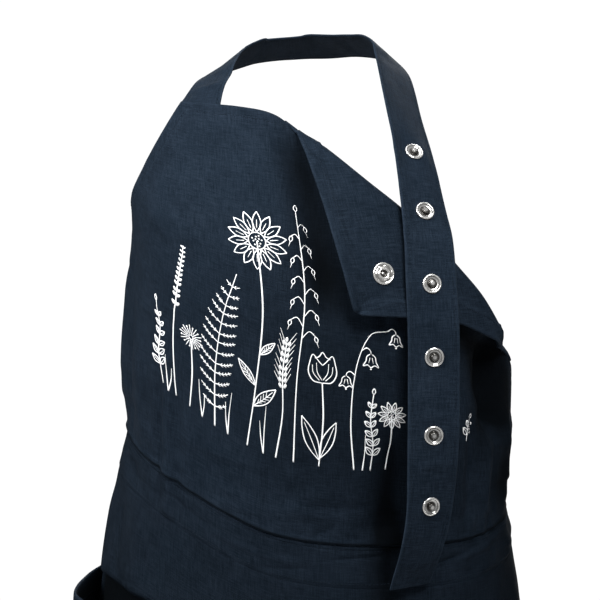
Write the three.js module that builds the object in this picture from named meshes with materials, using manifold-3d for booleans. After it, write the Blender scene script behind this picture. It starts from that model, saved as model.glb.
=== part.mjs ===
// An apron as it is worn: a bib with one corner folded down, a waistband, a skirt with two patch pockets,
// a neck strap with six snap studs, a snap socket on the folded corner and a waist tie round the back.
// Millimetres, z up, the front towards -y, +x to the viewer's right when facing the front.
// The origin is the middle of the neck strap, where it lies on the nape.

import * as THREE from 'three';
import { mergeVertices } from 'three/addons/utils/BufferGeometryUtils.js';
import Module from 'manifold-3d';

const wasm = await Module();
wasm.setup();

// driving sizes

const thickness = { bib: 1.4, band: 2.0, skirt: 1.4, pocket: 1.4, strap: 2.0, tie: 1.6 };
const seamGap = 0.4;
const columnPitch = 20.4;
const bibCells = 24;
const bandCells = 30;
const bibHalfWidth = (bibCells / 2) * columnPitch;
const bandHalfWidth = (bandCells / 2) * columnPitch;
const bandHeight = 35;
const bandRows = 2;
const bibHeight = 350;
const skirtLength = 460;
const skirtRowPitch = 23;
const strapWidth = 40;
const tieWidth = 26;

const fold = {
  radius: 4.5, beside: 0.02, steps: 6, flapRows: 7,
  cornerLift: 7, cornerReach: 97, reachEnd: 1.2, liftPower: 0.8,
};
const stud = {
  flange: 7.6, flangeRim: 1.1, dish: 2.3, post: 1.8, nub: 2.9, nubHeight: 3.4,
  back: 6.2, plate: 0.7, step: 0.6, sides: 16,
};
const socket = {
  ring: 8.8, rim: 1.3, mouth: 2.9, height: 2.4, post: 2.0, cap: 7.4,
  plate: 0.7, step: 0.6, clear: 0.25, sides: 18,
};
const pocket = { top: -109, rows: 7, from: 7, to: 13, dip: 12, slant: 13, gape: 21, bulge: 6 };
const knot = { width: 34, depth: 15, height: 27, tail: 185 };

// tables: the names of the columns first, then one row per section

function table(names, ...rows) {
  const columns = {};
  names.forEach((name, i) => {
    columns[name] = rows.map((row) => row[i]);
  });
  return columns;
}

// Cubic through the rows of a table. The slope at a row is that between its two neighbours.
function follow(columns, name, at) {
  const x = columns.at;
  const y = columns[name];
  const last = x.length - 1;
  let i = 0;
  while (i < last - 1 && at >= x[i + 1]) i += 1;
  const slope = (k) => {
    const a = Math.max(k - 1, 0);
    const b = Math.min(k + 1, last);
    return (y[b] - y[a]) / (x[b] - x[a]);
  };
  const span = x[i + 1] - x[i];
  const f = Math.min(Math.max((at - x[i]) / span, 0), 1);
  const g = 1 - f;
  return y[i] * (1 + 2 * f) * g * g + slope(i) * span * f * g * g
    + y[i + 1] * f * f * (3 - 2 * f) - slope(i + 1) * span * f * f * g;
}

// the form that the cloth hangs on

// Level sections by height up the cloth from the waist seam: height and depth of the centre line,
// radius of the front arc, how far across the cloth it runs, and the radius of the arc round the side.
const body = table(['at', 'z', 'y', 'frontR', 'frontS', 'sideR'],
  [-495, -889, -214, 290, 165, 120],
  [-330, -724, -208, 270, 155, 114],
  [-200, -595, -202, 250, 145, 108],
  [-110, -506, -195, 235, 138, 103],
  [-35, -431, -184, 215, 128, 97],
  [0, -396, -181, 205, 122, 93],
  [60, -336, -186, 205, 122, 93],
  [120, -276, -194, 205, 124, 94],
  [180, -216, -199, 205, 124, 94],
  [240, -157, -191, 200, 120, 93],
  [295, -103, -167, 185, 115, 90],
  [350, -55, -133, 165, 110, 88],
  [370, -38, -119, 160, 108, 87]);

// The left side is pulled up, by place across the cloth, and less so towards the hem and the top.
const lift = table(['at', 'up'],
  [-300, 88], [-240, 83], [-205, 76], [-165, 63], [-125, 45], [-85, 25], [-45, 9],
  [0, 1], [60, -3], [120, -4], [165, 2], [205, 10], [240, 16], [300, 20]);
const liftShare = table(['at', 'share'],
  [-495, 0.35], [-300, 0.6], [-100, 0.95], [0, 1], [90, 1], [180, 0.8], [270, 0.4], [350, 0.22]);

// The right side of the bib has dropped, because its corner hangs unfastened.
const sag = table(['at', 'down'], [-300, 0], [0, 2], [60, 10], [120, 26], [205, 46], [300, 56]);
const sagShare = table(['at', 'share'], [-495, 0], [0, 0], [60, 0.35], [150, 0.9], [240, 1], [350, 1]);

// How far the cloth stands off the form at its left and right side, by height up the cloth.
const ease = table(['at', 'left', 'right'],
  [-495, 4, 3], [-110, 3.5, 1], [-35, 1.5, 2.5], [0, 1.5, 4.5], [60, 4, 5], [120, -1, 4.5],
  [180, -4, 3], [240, -1, 0], [300, -1, 0], [370, 0, 0]);
const easeStart = 100;
const easeReach = 110;

// Soft upright folds of the bib: place across, half-width, height off the form, and where each one ends.
const bibFolds = [
  { across: 150, half: 14, out: 3.5, from: 15, to: 165 },
  { across: 184, half: 15, out: 5.0, from: 5, to: 150 },
  { across: 217, half: 13, out: 4.0, from: 10, to: 120 },
  { across: -212, half: 16, out: 3.0, from: 10, to: 170 },
];

// Flutes of the skirt: how far apart at the top, and how deep at the hem.
const flute = { pitch: 105, depth: 9, start: -150 };

function smooth(x) {
  const f = Math.min(Math.max(x, 0), 1);
  return f * f * (3 - 2 * f);
}

function bibFoldHeight(s, t) {
  let out = 0;
  for (const row of bibFolds) {
    const across = Math.max(0, 1 - Math.abs(s - row.across) / row.half);
    const along = smooth((t - row.from) / 35) * smooth((row.to - t) / 45);
    out += row.out * smooth(across) * along;
  }
  return out;
}

function skirtFluteHeight(s, t) {
  const grown = smooth((flute.start - t) / (flute.start + bandHeight + skirtLength));
  return flute.depth * grown * (0.5 - 0.5 * Math.cos((2 * Math.PI * s) / flute.pitch));
}

// Point of the cloth: s across, t up from the waist seam, h out along the normal.
function drape(s, t, h = 0) {
  const frontR = follow(body, 'frontR', t);
  const frontS = follow(body, 'frontS', t);
  const sideR = follow(body, 'sideR', t);
  const side = Math.sign(s) || 1;
  const across = Math.abs(s);
  const corner = frontS / frontR;
  const turned = across > frontS;
  const turn = turned ? corner + (across - frontS) / sideR : across / frontR;
  let x = frontR * Math.sin(Math.min(turn, corner));
  let back = frontR * (1 - Math.cos(Math.min(turn, corner)));
  if (turned) {
    x += sideR * (Math.sin(turn) - Math.sin(corner));
    back += sideR * (Math.cos(corner) - Math.cos(turn));
  }
  const z = follow(body, 'z', t) + follow(lift, 'up', s) * follow(liftShare, 'share', t)
    - follow(sag, 'down', s) * follow(sagShare, 'share', t);
  const step = 2;
  const near = Math.min(Math.max(t, body.at[0] + step), body.at.at(-1) - step);
  const lean = (follow(body, 'y', near + step) - follow(body, 'y', near - step))
    / (follow(body, 'z', near + step) - follow(body, 'z', near - step));
  const normal = new THREE.Vector3(side * Math.sin(turn), -Math.cos(turn), lean * Math.cos(turn)).normalize();
  const sideShare = smooth((across - easeStart) / easeReach);
  const out = h + sideShare * follow(ease, side < 0 ? 'left' : 'right', t);
  return new THREE.Vector3(side * x, follow(body, 'y', t) + back, z).addScaledVector(normal, out);
}

// closed solids from grids of points

function solid(corners, faces) {
  const geometry = new THREE.BufferGeometry();
  const numbers = corners.flatMap((p) => [p.x, p.y, p.z]);
  geometry.setAttribute('position', new THREE.Float32BufferAttribute(numbers, 3));
  geometry.setIndex(faces);
  return geometry;
}

// Unit normal at a point of a grid, from the directions to its neighbours.
function gridNormal(points, j, i) {
  const along = (a, b, c) => {
    const d = new THREE.Vector3();
    if (a) d.add(b.clone().sub(a).normalize());
    if (c) d.add(c.clone().sub(b).normalize());
    return d;
  };
  const p = points[j][i];
  const across = along(points[j][i - 1], p, points[j][i + 1]);
  const up = along(points[j - 1]?.[i], p, points[j + 1]?.[i]);
  return across.cross(up).normalize();
}

// A wall of even thickness on both sides of a grid of points, closed round its rim.
function sheet(points, wall) {
  const rows = points.length;
  const columns = points[0].length;
  const corners = [];
  for (const side of [0.5, -0.5]) {
    points.forEach((row, j) => row.forEach((p, i) => {
      corners.push(p.clone().addScaledVector(gridNormal(points, j, i), side * wall));
    }));
  }
  const front = (j, i) => j * columns + i;
  const behind = (k) => k + rows * columns;
  const faces = [];
  for (let j = 0; j < rows - 1; j += 1) {
    for (let i = 0; i < columns - 1; i += 1) {
      const a = front(j, i);
      const b = front(j, i + 1);
      const c = front(j + 1, i + 1);
      const d = front(j + 1, i);
      faces.push(a, b, c, a, c, d);
      faces.push(behind(c), behind(b), behind(a), behind(d), behind(c), behind(a));
    }
  }
  const rim = [];
  for (let i = 0; i < columns - 1; i += 1) rim.push(front(0, i));
  for (let j = 0; j < rows - 1; j += 1) rim.push(front(j, columns - 1));
  for (let i = columns - 1; i > 0; i -= 1) rim.push(front(rows - 1, i));
  for (let j = rows - 1; j > 0; j -= 1) rim.push(front(j, 0));
  rim.forEach((p, k) => {
    const q = rim[(k + 1) % rim.length];
    faces.push(q, p, behind(p), q, behind(p), behind(q));
  });
  return solid(corners, faces);
}

// A flat band along a route of rows, each with its centre and the direction of its width.
function ribbon(route, width, wall) {
  return sheet(route.map(({ centre, wide }) => [-0.5, 0.5].map(
    (k) => centre.clone().addScaledVector(wide, k * width))), wall);
}

// A turned piece from a profile of radius and height, standing on its frame's z.
function turned(profile, sides, frame) {
  const lathe = new THREE.LatheGeometry(profile.map(([r, z]) => new THREE.Vector2(r, z)), sides);
  lathe.deleteAttribute('normal');
  lathe.deleteAttribute('uv');
  lathe.rotateX(Math.PI / 2);
  lathe.applyMatrix4(frame);
  return mergeVertices(lathe, 1e-4);
}

// Frame at a point with z along the given direction.
function frameAt(point, direction) {
  const turn = new THREE.Quaternion().setFromUnitVectors(new THREE.Vector3(0, 0, 1), direction);
  return new THREE.Matrix4().compose(point, turn, new THREE.Vector3(1, 1, 1));
}

function toManifold(geometry) {
  const bare = geometry.clone();
  bare.deleteAttribute('normal');
  bare.deleteAttribute('uv');
  const merged = mergeVertices(bare, 1e-5);
  return new wasm.Manifold(new wasm.Mesh({
    numProp: 3,
    vertProperties: new Float32Array(merged.attributes.position.array),
    triVerts: new Uint32Array(merged.index.array),
  }));
}

function fromManifold(shape) {
  const mesh = shape.getMesh();
  const geometry = new THREE.BufferGeometry();
  geometry.setAttribute('position', new THREE.Float32BufferAttribute(mesh.vertProperties, 3));
  geometry.setIndex(Array.from(mesh.triVerts));
  return geometry;
}

const drillDepth = 8;
const drillSides = 16;

function drill(geometry, holes) {
  let cut = toManifold(geometry);
  for (const { point, normal, radius } of holes) {
    const tool = new THREE.CylinderGeometry(radius, radius, drillDepth, drillSides);
    tool.rotateX(Math.PI / 2);
    tool.applyMatrix4(frameAt(point, normal));
    cut = cut.subtract(toManifold(tool));
  }
  return fromManifold(cut);
}

// bib: rows run straight across between the two edges, the last one is the fold

// Edges by row: the left one goes up the side, round the armhole to the corner and along the top hem,
// the right one goes up the side to the end of the fold.
const bibEdges = table(['at', 'leftS', 'leftT', 'rightS', 'rightT'],
  [0, -bibHalfWidth, 0, bibHalfWidth, 0],
  [0.17, -243, 70, 245, 40],
  [0.33, -241, 140, 243, 74],
  [0.45, -238, 188, 238, 98],
  [0.53, -222, 216, 230, 116],
  [0.62, -190, 254, 219, 139],
  [0.72, -155, 302, 206, 158],
  [0.836, -125.2, 348.4, 190.2, 171.5],
  [0.84, -124, 350, 189.6, 172],
  [0.844, -121.6, 350.2, 189, 172.5],
  [0.88, -97, 352, 182, 177.5],
  [0.92, -69, 353, 174, 181.5],
  [0.955, -46, 351, 166, 184.5],
  [0.98, -32, 344, 160, 186],
  [1, -22.5, 331.5, 156, 186.5]);
const bibRows = [0, 0.05, 0.11, 0.17, 0.23, 0.29, 0.35, 0.41, 0.47, 0.52, 0.57, 0.61, 0.65,
  0.69, 0.73, 0.77, 0.805, 0.84, 0.88, 0.92, 0.955, 0.985, 1];

// The fold by place along it, with the turned-down edges of the corner by distance from the fold.
const foldLine = table(['at', 's', 't'],
  [0, -22.5, 331.5], [0.13, 0.3, 311], [0.27, 27.3, 290.3], [0.41, 56, 272.8], [0.53, 79.6, 257.6],
  [0.65, 102, 242], [0.77, 124, 226], [0.88, 141, 208.5], [0.95, 150, 196.5], [1, 156, 186.5]);
const flapEdges = table(['at', 'hemS', 'hemT', 'armS', 'armT'],
  [0, -22.5, 331.5, 156, 186.5],
  [0.25, -14, 299, 134, 193.5],
  [0.5, -4.5, 266, 102, 200],
  [0.75, 4, 233, 60, 195.5],
  [1, 14.2, 194, 20.5, 191]);

const between = (a, b, f) => a + (b - a) * f;

function bibPlace(u, v) {
  const edge = (name) => follow(bibEdges, name, v);
  const straight = (name) => between(follow(foldLine, name, 0), follow(foldLine, name, 1), u);
  const bowed = smooth((v - 0.45) / 0.55);
  return {
    s: between(edge('leftS'), edge('rightS'), u) + bowed * (follow(foldLine, 's', u) - straight('s')),
    t: between(edge('leftT'), edge('rightT'), u) + bowed * (follow(foldLine, 't', u) - straight('t')),
  };
}

// Place on the turned-down corner: across from the top hem to the armhole edge, down from the fold.
function flapPlace(u, v) {
  const edge = (name, row) => follow(flapEdges, name, row);
  const blend = (name, hem, arm) => {
    const last = between(edge(hem, 1), edge(arm, 1), u);
    const rows = between(follow(foldLine, name, u), last, v);
    const leftOver = edge(hem, v) - between(edge(hem, 0), edge(hem, 1), v);
    const rightOver = edge(arm, v) - between(edge(arm, 0), edge(arm, 1), v);
    return rows + between(leftOver, rightOver, u);
  };
  return { s: blend('s', 'hemS', 'armS'), t: blend('t', 'hemT', 'armT') };
}

function flapPoint(u, v) {
  const { s, t } = flapPlace(u, v);
  const start = flapPlace(u, 0);
  const reach = Math.hypot(s - start.s, t - start.t) / fold.cornerReach;
  return drape(s, t, 2 * fold.radius + fold.cornerLift * Math.min(reach, fold.reachEnd) ** fold.liftPower);
}

const bibColumns = Array.from({ length: bibCells + 1 }, (_, i) => i / bibCells);

function bibGrid() {
  const rows = bibRows.map((v) => bibColumns.map((u) => {
    const { s, t } = bibPlace(u, v);
    return drape(s, t, bibFoldHeight(s, t));
  }));
  for (let k = 1; k < fold.steps; k += 1) {
    const turn = (Math.PI * k) / fold.steps;
    rows.push(bibColumns.map((u) => {
      const { s, t } = bibPlace(u, 1);
      const before = flapPlace(Math.max(u - fold.beside, 0), 0);
      const after = flapPlace(Math.min(u + fold.beside, 1), 0);
      const run = Math.hypot(after.s - before.s, after.t - before.t);
      const beyondS = (before.t - after.t) / run;
      const beyondT = (after.s - before.s) / run;
      const flat = drape(s, t);
      const beyond = drape(s + beyondS, t + beyondT).sub(flat).normalize();
      const normal = drape(s, t, 1).sub(flat);
      return flat.addScaledVector(beyond, fold.radius * Math.sin(turn))
        .addScaledVector(normal, fold.radius * (1 - Math.cos(turn)));
    }));
  }
  for (let k = 0; k <= fold.flapRows; k += 1) {
    rows.push(bibColumns.map((u) => flapPoint(u, k / fold.flapRows)));
  }
  return rows;
}

// waistband and skirt: the same columns, so that their edges follow each other along the seam

function bandGrid() {
  const rows = [];
  for (let j = 0; j <= bandRows; j += 1) {
    const t = between(seamGap - bandHeight, -seamGap, j / bandRows);
    rows.push(Array.from({ length: bandCells + 1 }, (_, i) => drape((i - bandCells / 2) * columnPitch, t)));
  }
  return rows;
}

const skirtFlare = 0.1;

function skirtAcross(column, t) {
  return column * columnPitch * (1 - (skirtFlare * (t + bandHeight)) / skirtLength);
}

function skirtRows() {
  const hem = -bandHeight - skirtLength;
  const rows = [hem];
  const below = Math.floor((pocket.top - hem) / skirtRowPitch - 0.3);
  for (let t = pocket.top - below * skirtRowPitch; t < -bandHeight - 8; t += skirtRowPitch) rows.push(t);
  rows.push(-bandHeight);
  return rows;
}

function skirtGrid() {
  return skirtRows().map((t) => Array.from({ length: bandCells + 1 }, (_, i) => {
    const s = skirtAcross(i - bandCells / 2, t);
    return drape(s, t, skirtFluteHeight(s, t));
  }));
}

// patch pocket on the skirt: sewn along its sides and bottom, its mouth dips and stands open

function pocketGrid(side) {
  const columns = [];
  for (let i = pocket.from; i <= pocket.to; i += 1) columns.push(side * i);
  columns.sort((a, b) => a - b);
  const sewn = thickness.skirt / 2 + seamGap + thickness.pocket / 2;
  const rows = [];
  for (let j = 0; j <= pocket.rows; j += 1) {
    const v = j / pocket.rows;
    rows.push(columns.map((column) => {
      const u = (Math.abs(column) - pocket.from) / (pocket.to - pocket.from);
      const t = pocket.top - (pocket.rows - j) * skirtRowPitch - pocket.slant * u * v;
      const middle = Math.sin(Math.PI * u) ** 0.8;
      const down = t - pocket.dip * middle * smooth(v) ** 2;
      const s = skirtAcross(column, down);
      const open = pocket.bulge * Math.sin(Math.PI * v) + pocket.gape * smooth((v - 0.35) / 0.65);
      return drape(s, down, skirtFluteHeight(s, down) + sewn + open * middle);
    }));
  }
  return rows;
}

// neck strap: from behind the bib's left corner, round the nape, and down in front with its end free

const strapStart = { s: -110, t: 324, behind: 4.3, turn: 0.16 };
const strapStartDepth = thickness.bib / 2 + seamGap + thickness.strap / 2 + strapStart.behind;

// Rows of the route: centre and direction of the width.
const strapRoute = [
  [-93.5, -81.7, -38.5, -0.77, 0.60, -0.24],
  [-87.0, -68.9, -29.0, -0.78, 0.53, -0.34],
  [-81.9, -54.2, -21.4, -0.76, 0.50, -0.42],
  [-75.0, -39.4, -15.8, -0.67, 0.54, -0.52],
  [-66.2, -25.2, -11.7, -0.54, 0.61, -0.57],
  [-54.2, -13.7, -7.8, -0.40, 0.71, -0.57],
  [-40.4, -4.0, -4.6, -0.10, 0.87, -0.48],
  [-2.3, 0, -0.8, 0, 0.88, -0.47],
  [27.3, -16.8, -0.2, 0.46, 0.77, -0.44],
  [42.6, -28.1, -0.5, 0.57, 0.67, -0.47],
  [53.4, -40.0, -1.9, 0.62, 0.58, -0.53],
  [60.5, -53.2, -7.0, 0.67, 0.51, -0.54],
  [63.4, -68.2, -16.1, 0.76, 0.43, -0.48],
  [65.0, -87.9, -31.1, 0.79, 0.43, -0.44],
  [67.3, -113.5, -53.0, 0.80, 0.45, -0.40],
  [70.9, -146.5, -85.7, 0.85, 0.43, -0.31],
  [73.3, -165.1, -108.2, 0.89, 0.40, -0.22],
  [75.1, -180.5, -130.7, 0.93, 0.34, -0.14],
  [76.9, -193.6, -153.3, 0.97, 0.23, -0.02],
  [77.6, -205, -185.4, 0.99, 0.14, 0],
  [78.6, -209, -214, 1, 0.06, 0],
  [79.3, -209.5, -242.3, 1, 0.05, 0],
  [79.3, -209, -304.1, 1, 0.05, 0],
  [77.5, -205, -361.3, 0.93, 0.34, -0.06],
  [71.4, -201, -397.8, 0.87, 0.46, -0.10],
  [64.2, -188, -429.5, 0.84, 0.50, 0.01],
];

// Snap studs by their height down the strap, as rows of the route above.
const studRows = [15, 17, 19, 21, 22, 23];

function strapKnots() {
  const sewn = (t) => ({
    centre: drape(strapStart.s, t, -strapStartDepth),
    wide: drape(strapStart.s - 10, t).sub(drape(strapStart.s + 10, t)).normalize()
      .add(new THREE.Vector3(0, strapStart.turn, 0)).normalize(),
  });
  const free = strapRoute.map(([x, y, z, a, b, c]) => ({
    centre: new THREE.Vector3(x, y, z),
    wide: new THREE.Vector3(a, b, c).normalize(),
  }));
  return [sewn(strapStart.t), sewn(bibHeight), ...free];
}

// Table of the route by its length, so that it can be followed to any place.
function routeTable(knots) {
  const names = ['at', 'x', 'y', 'z', 'wx', 'wy', 'wz'];
  let length = 0;
  const rows = knots.map(({ centre, wide }, i) => {
    if (i) length += centre.distanceTo(knots[i - 1].centre);
    return [length, ...centre.toArray(), ...wide.toArray()];
  });
  return table(names, ...rows);
}

function routeAt(route, at) {
  const centre = new THREE.Vector3(...['x', 'y', 'z'].map((name) => follow(route, name, at)));
  const ahead = new THREE.Vector3(...['x', 'y', 'z'].map((name) => follow(route, name, at + 1)));
  const behind = new THREE.Vector3(...['x', 'y', 'z'].map((name) => follow(route, name, at - 1)));
  const along = ahead.sub(behind).normalize();
  const wide = new THREE.Vector3(...['wx', 'wy', 'wz'].map((name) => follow(route, name, at)));
  wide.addScaledVector(along, -wide.dot(along)).normalize();
  return { centre, wide, along, normal: wide.clone().cross(along).normalize() };
}

const strapPath = routeTable(strapKnots());
const studPlaces = studRows.map((row) => routeAt(strapPath, strapPath.at[row + 2]));

// The strap is flat under each stud: one row before and one after, both square to the stud.
function strapRows() {
  const flat = stud.flange + 1.4;
  const ends = strapPath.at;
  const rows = [];
  const pitch = 13;
  const stops = studRows.map((row) => ends[row + 2]);
  const length = ends[ends.length - 1];
  const steps = Math.round(length / pitch);
  for (let k = 0; k <= steps; k += 1) {
    const at = (length * k) / steps;
    if (stops.every((stop) => Math.abs(at - stop) > flat + 3)) rows.push({ at, ...routeAt(strapPath, at) });
  }
  stops.forEach((stop, k) => {
    const place = studPlaces[k];
    for (const side of [-1, 1]) {
      rows.push({
        at: stop + side * flat,
        centre: place.centre.clone().addScaledVector(place.along, side * flat),
        wide: place.wide.clone(),
      });
    }
  });
  return rows.sort((a, b) => a.at - b.at);
}

const strapHoles = studPlaces.map(({ centre, normal }) => (
  { point: centre, normal, radius: stud.post + seamGap }));

// snap stud: a turned rim and a round nub on the front, a post through the strap and a plate behind it

function studSolid({ centre, normal }) {
  const out = normal.clone().multiplyScalar(normal.y > 0 ? -1 : 1);
  const face = thickness.strap / 2 + seamGap;
  const profile = [
    [0, -face - stud.plate],
    [stud.back, -face - stud.plate],
    [stud.back, -face],
    [stud.post, -face],
    [stud.post, face],
    [stud.flange - 0.3, face],
    [stud.flange, face + 0.4],
    [stud.flange - 1, face + stud.flangeRim],
    [stud.flange - stud.dish, face + stud.step],
    [stud.nub, face + stud.step],
    [stud.nub, face + stud.nubHeight - 1],
    [stud.nub - 1.2, face + stud.nubHeight],
    [0, face + stud.nubHeight],
  ];
  return turned(profile, stud.sides, frameAt(centre, out));
}

// snap socket: a domed ring with a round mouth on the folded corner, and a plain cap behind it

const socketPlace = { u: 0.46, v: 0.66 };

function socketFrame() {
  const { u, v } = socketPlace;
  const centre = flapPoint(u, v);
  const across = flapPoint(u + 0.04, v).sub(flapPoint(u - 0.04, v));
  const down = flapPoint(u, v + 0.04).sub(flapPoint(u, v - 0.04));
  return { centre, normal: down.cross(across).normalize() };
}

function socketSolid({ centre, normal }) {
  const out = normal.clone().multiplyScalar(normal.y > 0 ? -1 : 1);
  const face = thickness.bib / 2 + seamGap + socket.clear;
  const profile = [
    [0, -face - socket.plate - socket.step],
    [socket.cap - 1.6, -face - socket.plate - socket.step],
    [socket.cap, -face - socket.plate],
    [socket.cap, -face],
    [socket.post, -face],
    [socket.post, face],
    [socket.ring - 0.4, face],
    [socket.ring, face + 0.5],
    [socket.ring - 0.8, face + socket.rim],
    [socket.ring - 2.0, face + 1.1],
    [socket.mouth + 2.2, face + 1.1],
    [socket.mouth + 1.4, face + socket.height],
    [socket.mouth, face + socket.height],
    [socket.mouth - 0.3, face + socket.step],
    [0, face + socket.step],
  ];
  return turned(profile, socket.sides, frameAt(centre, out));
}

// waist tie: from both ends of the waistband to a flat knot at the back, where its two ends hang

const backCentre = new THREE.Vector3(0, 30, -352);

function tieRoute(side) {
  const at = -bandHeight / 2;
  const end = (s) => drape(side * s, at);
  const start = end(bandHalfWidth + seamGap + 0.5);
  const upright = drape(side * bandHalfWidth, at + 5).sub(drape(side * bandHalfWidth, at - 5)).normalize();
  const level = new THREE.Vector3(0, 0, 1);
  const half = new THREE.Vector3(side * 62, backCentre.y - 4, between(start.z, backCentre.z, 0.55));
  const route = routeTable([
    { centre: start, wide: upright },
    { centre: end(bandHalfWidth + 14), wide: upright },
    { centre: half, wide: level },
    { centre: backCentre.clone(), wide: level },
  ]);
  const steps = 12;
  const rows = Array.from({ length: steps }, (_, k) => routeAt(route, (route.at[3] * (k + 1)) / steps));
  return [{ centre: start, wide: upright }, ...rows];
}

function tailRoute(side) {
  const rows = [
    [2, 0, 2, 1, 0.1, 0],
    [6, 3, -30, 1, 0.15, 0.1],
    [12, 4, -80, 1, -0.1, 0.12],
    [16, 0, -135, 1, -0.2, 0.12],
    [20, -2, -knot.tail, 1, -0.1, 0.12],
  ];
  const knots = rows.map(([x, y, z, a, b, c]) => ({
    centre: new THREE.Vector3(side * x, y + side * 1.2, z + side * 6).add(backCentre),
    wide: new THREE.Vector3(a, b, side * c).normalize(),
  }));
  const route = routeTable(knots);
  const steps = 8;
  return Array.from({ length: steps + 1 }, (_, k) => routeAt(route, (route.at[4] * k) / steps));
}

function tieSolid() {
  const lump = new THREE.SphereGeometry(0.5, 14, 8);
  lump.scale(knot.width, knot.depth, knot.height);
  lump.translate(...backCentre.toArray());
  let joined = toManifold(lump);
  for (const side of [-1, 1]) {
    joined = joined.add(toManifold(ribbon(tieRoute(side), tieWidth, thickness.tie)));
    joined = joined.add(toManifold(ribbon(tailRoute(side), tieWidth - 4, thickness.tie)));
  }
  return fromManifold(joined);
}

// the assembly

const apron = new THREE.Group();
apron.name = 'apron';

const cloth = { color: 0x2c3c4c, roughness: 0.92, metalness: 0 };
const metal = { color: 0xc9c6bd, roughness: 0.22, metalness: 1 };

function place(name, geometry, look) {
  const shown = geometry.toNonIndexed();
  shown.computeVertexNormals();
  const mesh = new THREE.Mesh(shown, new THREE.MeshStandardMaterial(look));
  mesh.name = name;
  apron.add(mesh);
}

const socketAt = socketFrame();
place('bib', drill(sheet(bibGrid(), thickness.bib), [
  { point: socketAt.centre, normal: socketAt.normal, radius: socket.post + seamGap }]), cloth);
place('waistband', sheet(bandGrid(), thickness.band), cloth);
place('skirt', sheet(skirtGrid(), thickness.skirt), cloth);
place('pocket_left', sheet(pocketGrid(-1), thickness.pocket), cloth);
place('pocket_right', sheet(pocketGrid(1), thickness.pocket), cloth);
place('neck_strap', drill(ribbon(strapRows(), strapWidth, thickness.strap), strapHoles), cloth);
studPlaces.forEach((at, k) => place(`stud_${k + 1}`, studSolid(at), metal));
place('corner_socket', socketSolid(socketAt), metal);
place('waist_tie', tieSolid(), cloth);

export default apron;
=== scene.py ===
import bpy
import mathutils
import numpy as np
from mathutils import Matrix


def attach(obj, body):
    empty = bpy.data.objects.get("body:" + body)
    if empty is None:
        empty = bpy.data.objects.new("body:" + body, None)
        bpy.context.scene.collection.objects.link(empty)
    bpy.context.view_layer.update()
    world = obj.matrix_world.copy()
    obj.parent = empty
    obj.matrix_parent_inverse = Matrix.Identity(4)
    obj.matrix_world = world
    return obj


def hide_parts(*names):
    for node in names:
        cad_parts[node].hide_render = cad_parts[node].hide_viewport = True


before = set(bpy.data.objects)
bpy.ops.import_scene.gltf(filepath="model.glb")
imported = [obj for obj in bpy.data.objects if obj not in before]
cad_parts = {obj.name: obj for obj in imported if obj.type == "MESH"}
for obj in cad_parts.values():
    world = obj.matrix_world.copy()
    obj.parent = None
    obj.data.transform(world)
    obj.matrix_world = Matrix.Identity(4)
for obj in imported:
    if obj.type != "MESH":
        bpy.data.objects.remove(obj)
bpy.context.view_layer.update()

# An apron as it is worn. Lengths here are millimetres, and meshes are made in metres.
# s runs across the cloth, t up it from the waist seam, and h out of it.
metre = 0.001


# columns of a table by their names
def table(names, *rows):
    return {name: np.array([row[i] for row in rows], float) for i, name in enumerate(names)}


# cubic through a table's rows; the slope at a row is that between its neighbours
def follow(rows, name, at):
    x, y = rows["at"], rows[name]
    slope = np.empty_like(y)
    slope[1:-1] = (y[2:] - y[:-2]) / (x[2:] - x[:-2])
    slope[0] = (y[1] - y[0]) / (x[1] - x[0])
    slope[-1] = (y[-1] - y[-2]) / (x[-1] - x[-2])
    at = np.asarray(at, float)
    i = np.clip(np.searchsorted(x, at, side="right") - 1, 0, len(x) - 2)
    span = x[i + 1] - x[i]
    f = np.clip((at - x[i]) / span, 0, 1)
    g = 1 - f
    start = y[i] * (1 + 2 * f) * g * g + slope[i] * span * f * g * g
    return start + y[i + 1] * f * f * (3 - 2 * f) - slope[i + 1] * span * f * f * g


# 0 below 0, 1 above 1, and 3 f^2 - 2 f^3 between
def smooth(x):
    f = np.clip(x, 0, 1)
    return f * f * (3 - 2 * f)


# a + (b - a) f
def between(a, b, f):
    return a + (b - a) * f


# vectors over their own length
def unit(v):
    return v / np.maximum(np.linalg.norm(v, axis=-1, keepdims=True), 1e-12)


# a bell of height 1: e to the power of minus the square, or another power, of x over its width
def bell(x, width, power=2):
    return np.exp(-((x / width) ** power))


# length run along a path at each of its points
def runAlong(path):
    return np.concatenate(((0,), np.cumsum(np.linalg.norm(np.diff(path, axis=0), axis=-1))))


# the form that the cloth hangs on

body = table(("at", "z", "y", "frontR", "frontS", "sideR"),
    (-495, -889, -214, 290, 165, 120),
    (-330, -724, -208, 270, 155, 114),
    (-200, -595, -202, 250, 145, 108),
    (-110, -506, -195, 235, 138, 103),
    (-35, -431, -184, 215, 128, 97),
    (0, -396, -181, 205, 122, 93),
    (60, -336, -186, 205, 122, 93),
    (120, -276, -194, 205, 124, 94),
    (180, -216, -199, 205, 124, 94),
    (240, -157, -191, 200, 120, 93),
    (295, -103, -167, 185, 115, 90),
    (350, -55, -133, 165, 110, 88),
    (370, -38, -119, 160, 108, 87))
lift = table(("at", "up"),
    (-300, 88), (-240, 83), (-205, 76), (-165, 63), (-125, 45), (-85, 25), (-45, 9),
    (0, 1), (60, -3), (120, -4), (165, 2), (205, 10), (240, 16), (300, 20))
liftShare = table(("at", "share"),
    (-495, 0.35), (-300, 0.6), (-100, 0.95), (0, 1), (90, 1), (180, 0.8), (270, 0.4), (350, 0.22))
sag = table(("at", "down"), (-300, 0), (0, 2), (60, 10), (120, 26), (205, 46), (300, 56))
sagShare = table(("at", "share"), (-495, 0), (0, 0), (60, 0.35), (150, 0.9), (240, 1), (350, 1))
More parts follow.
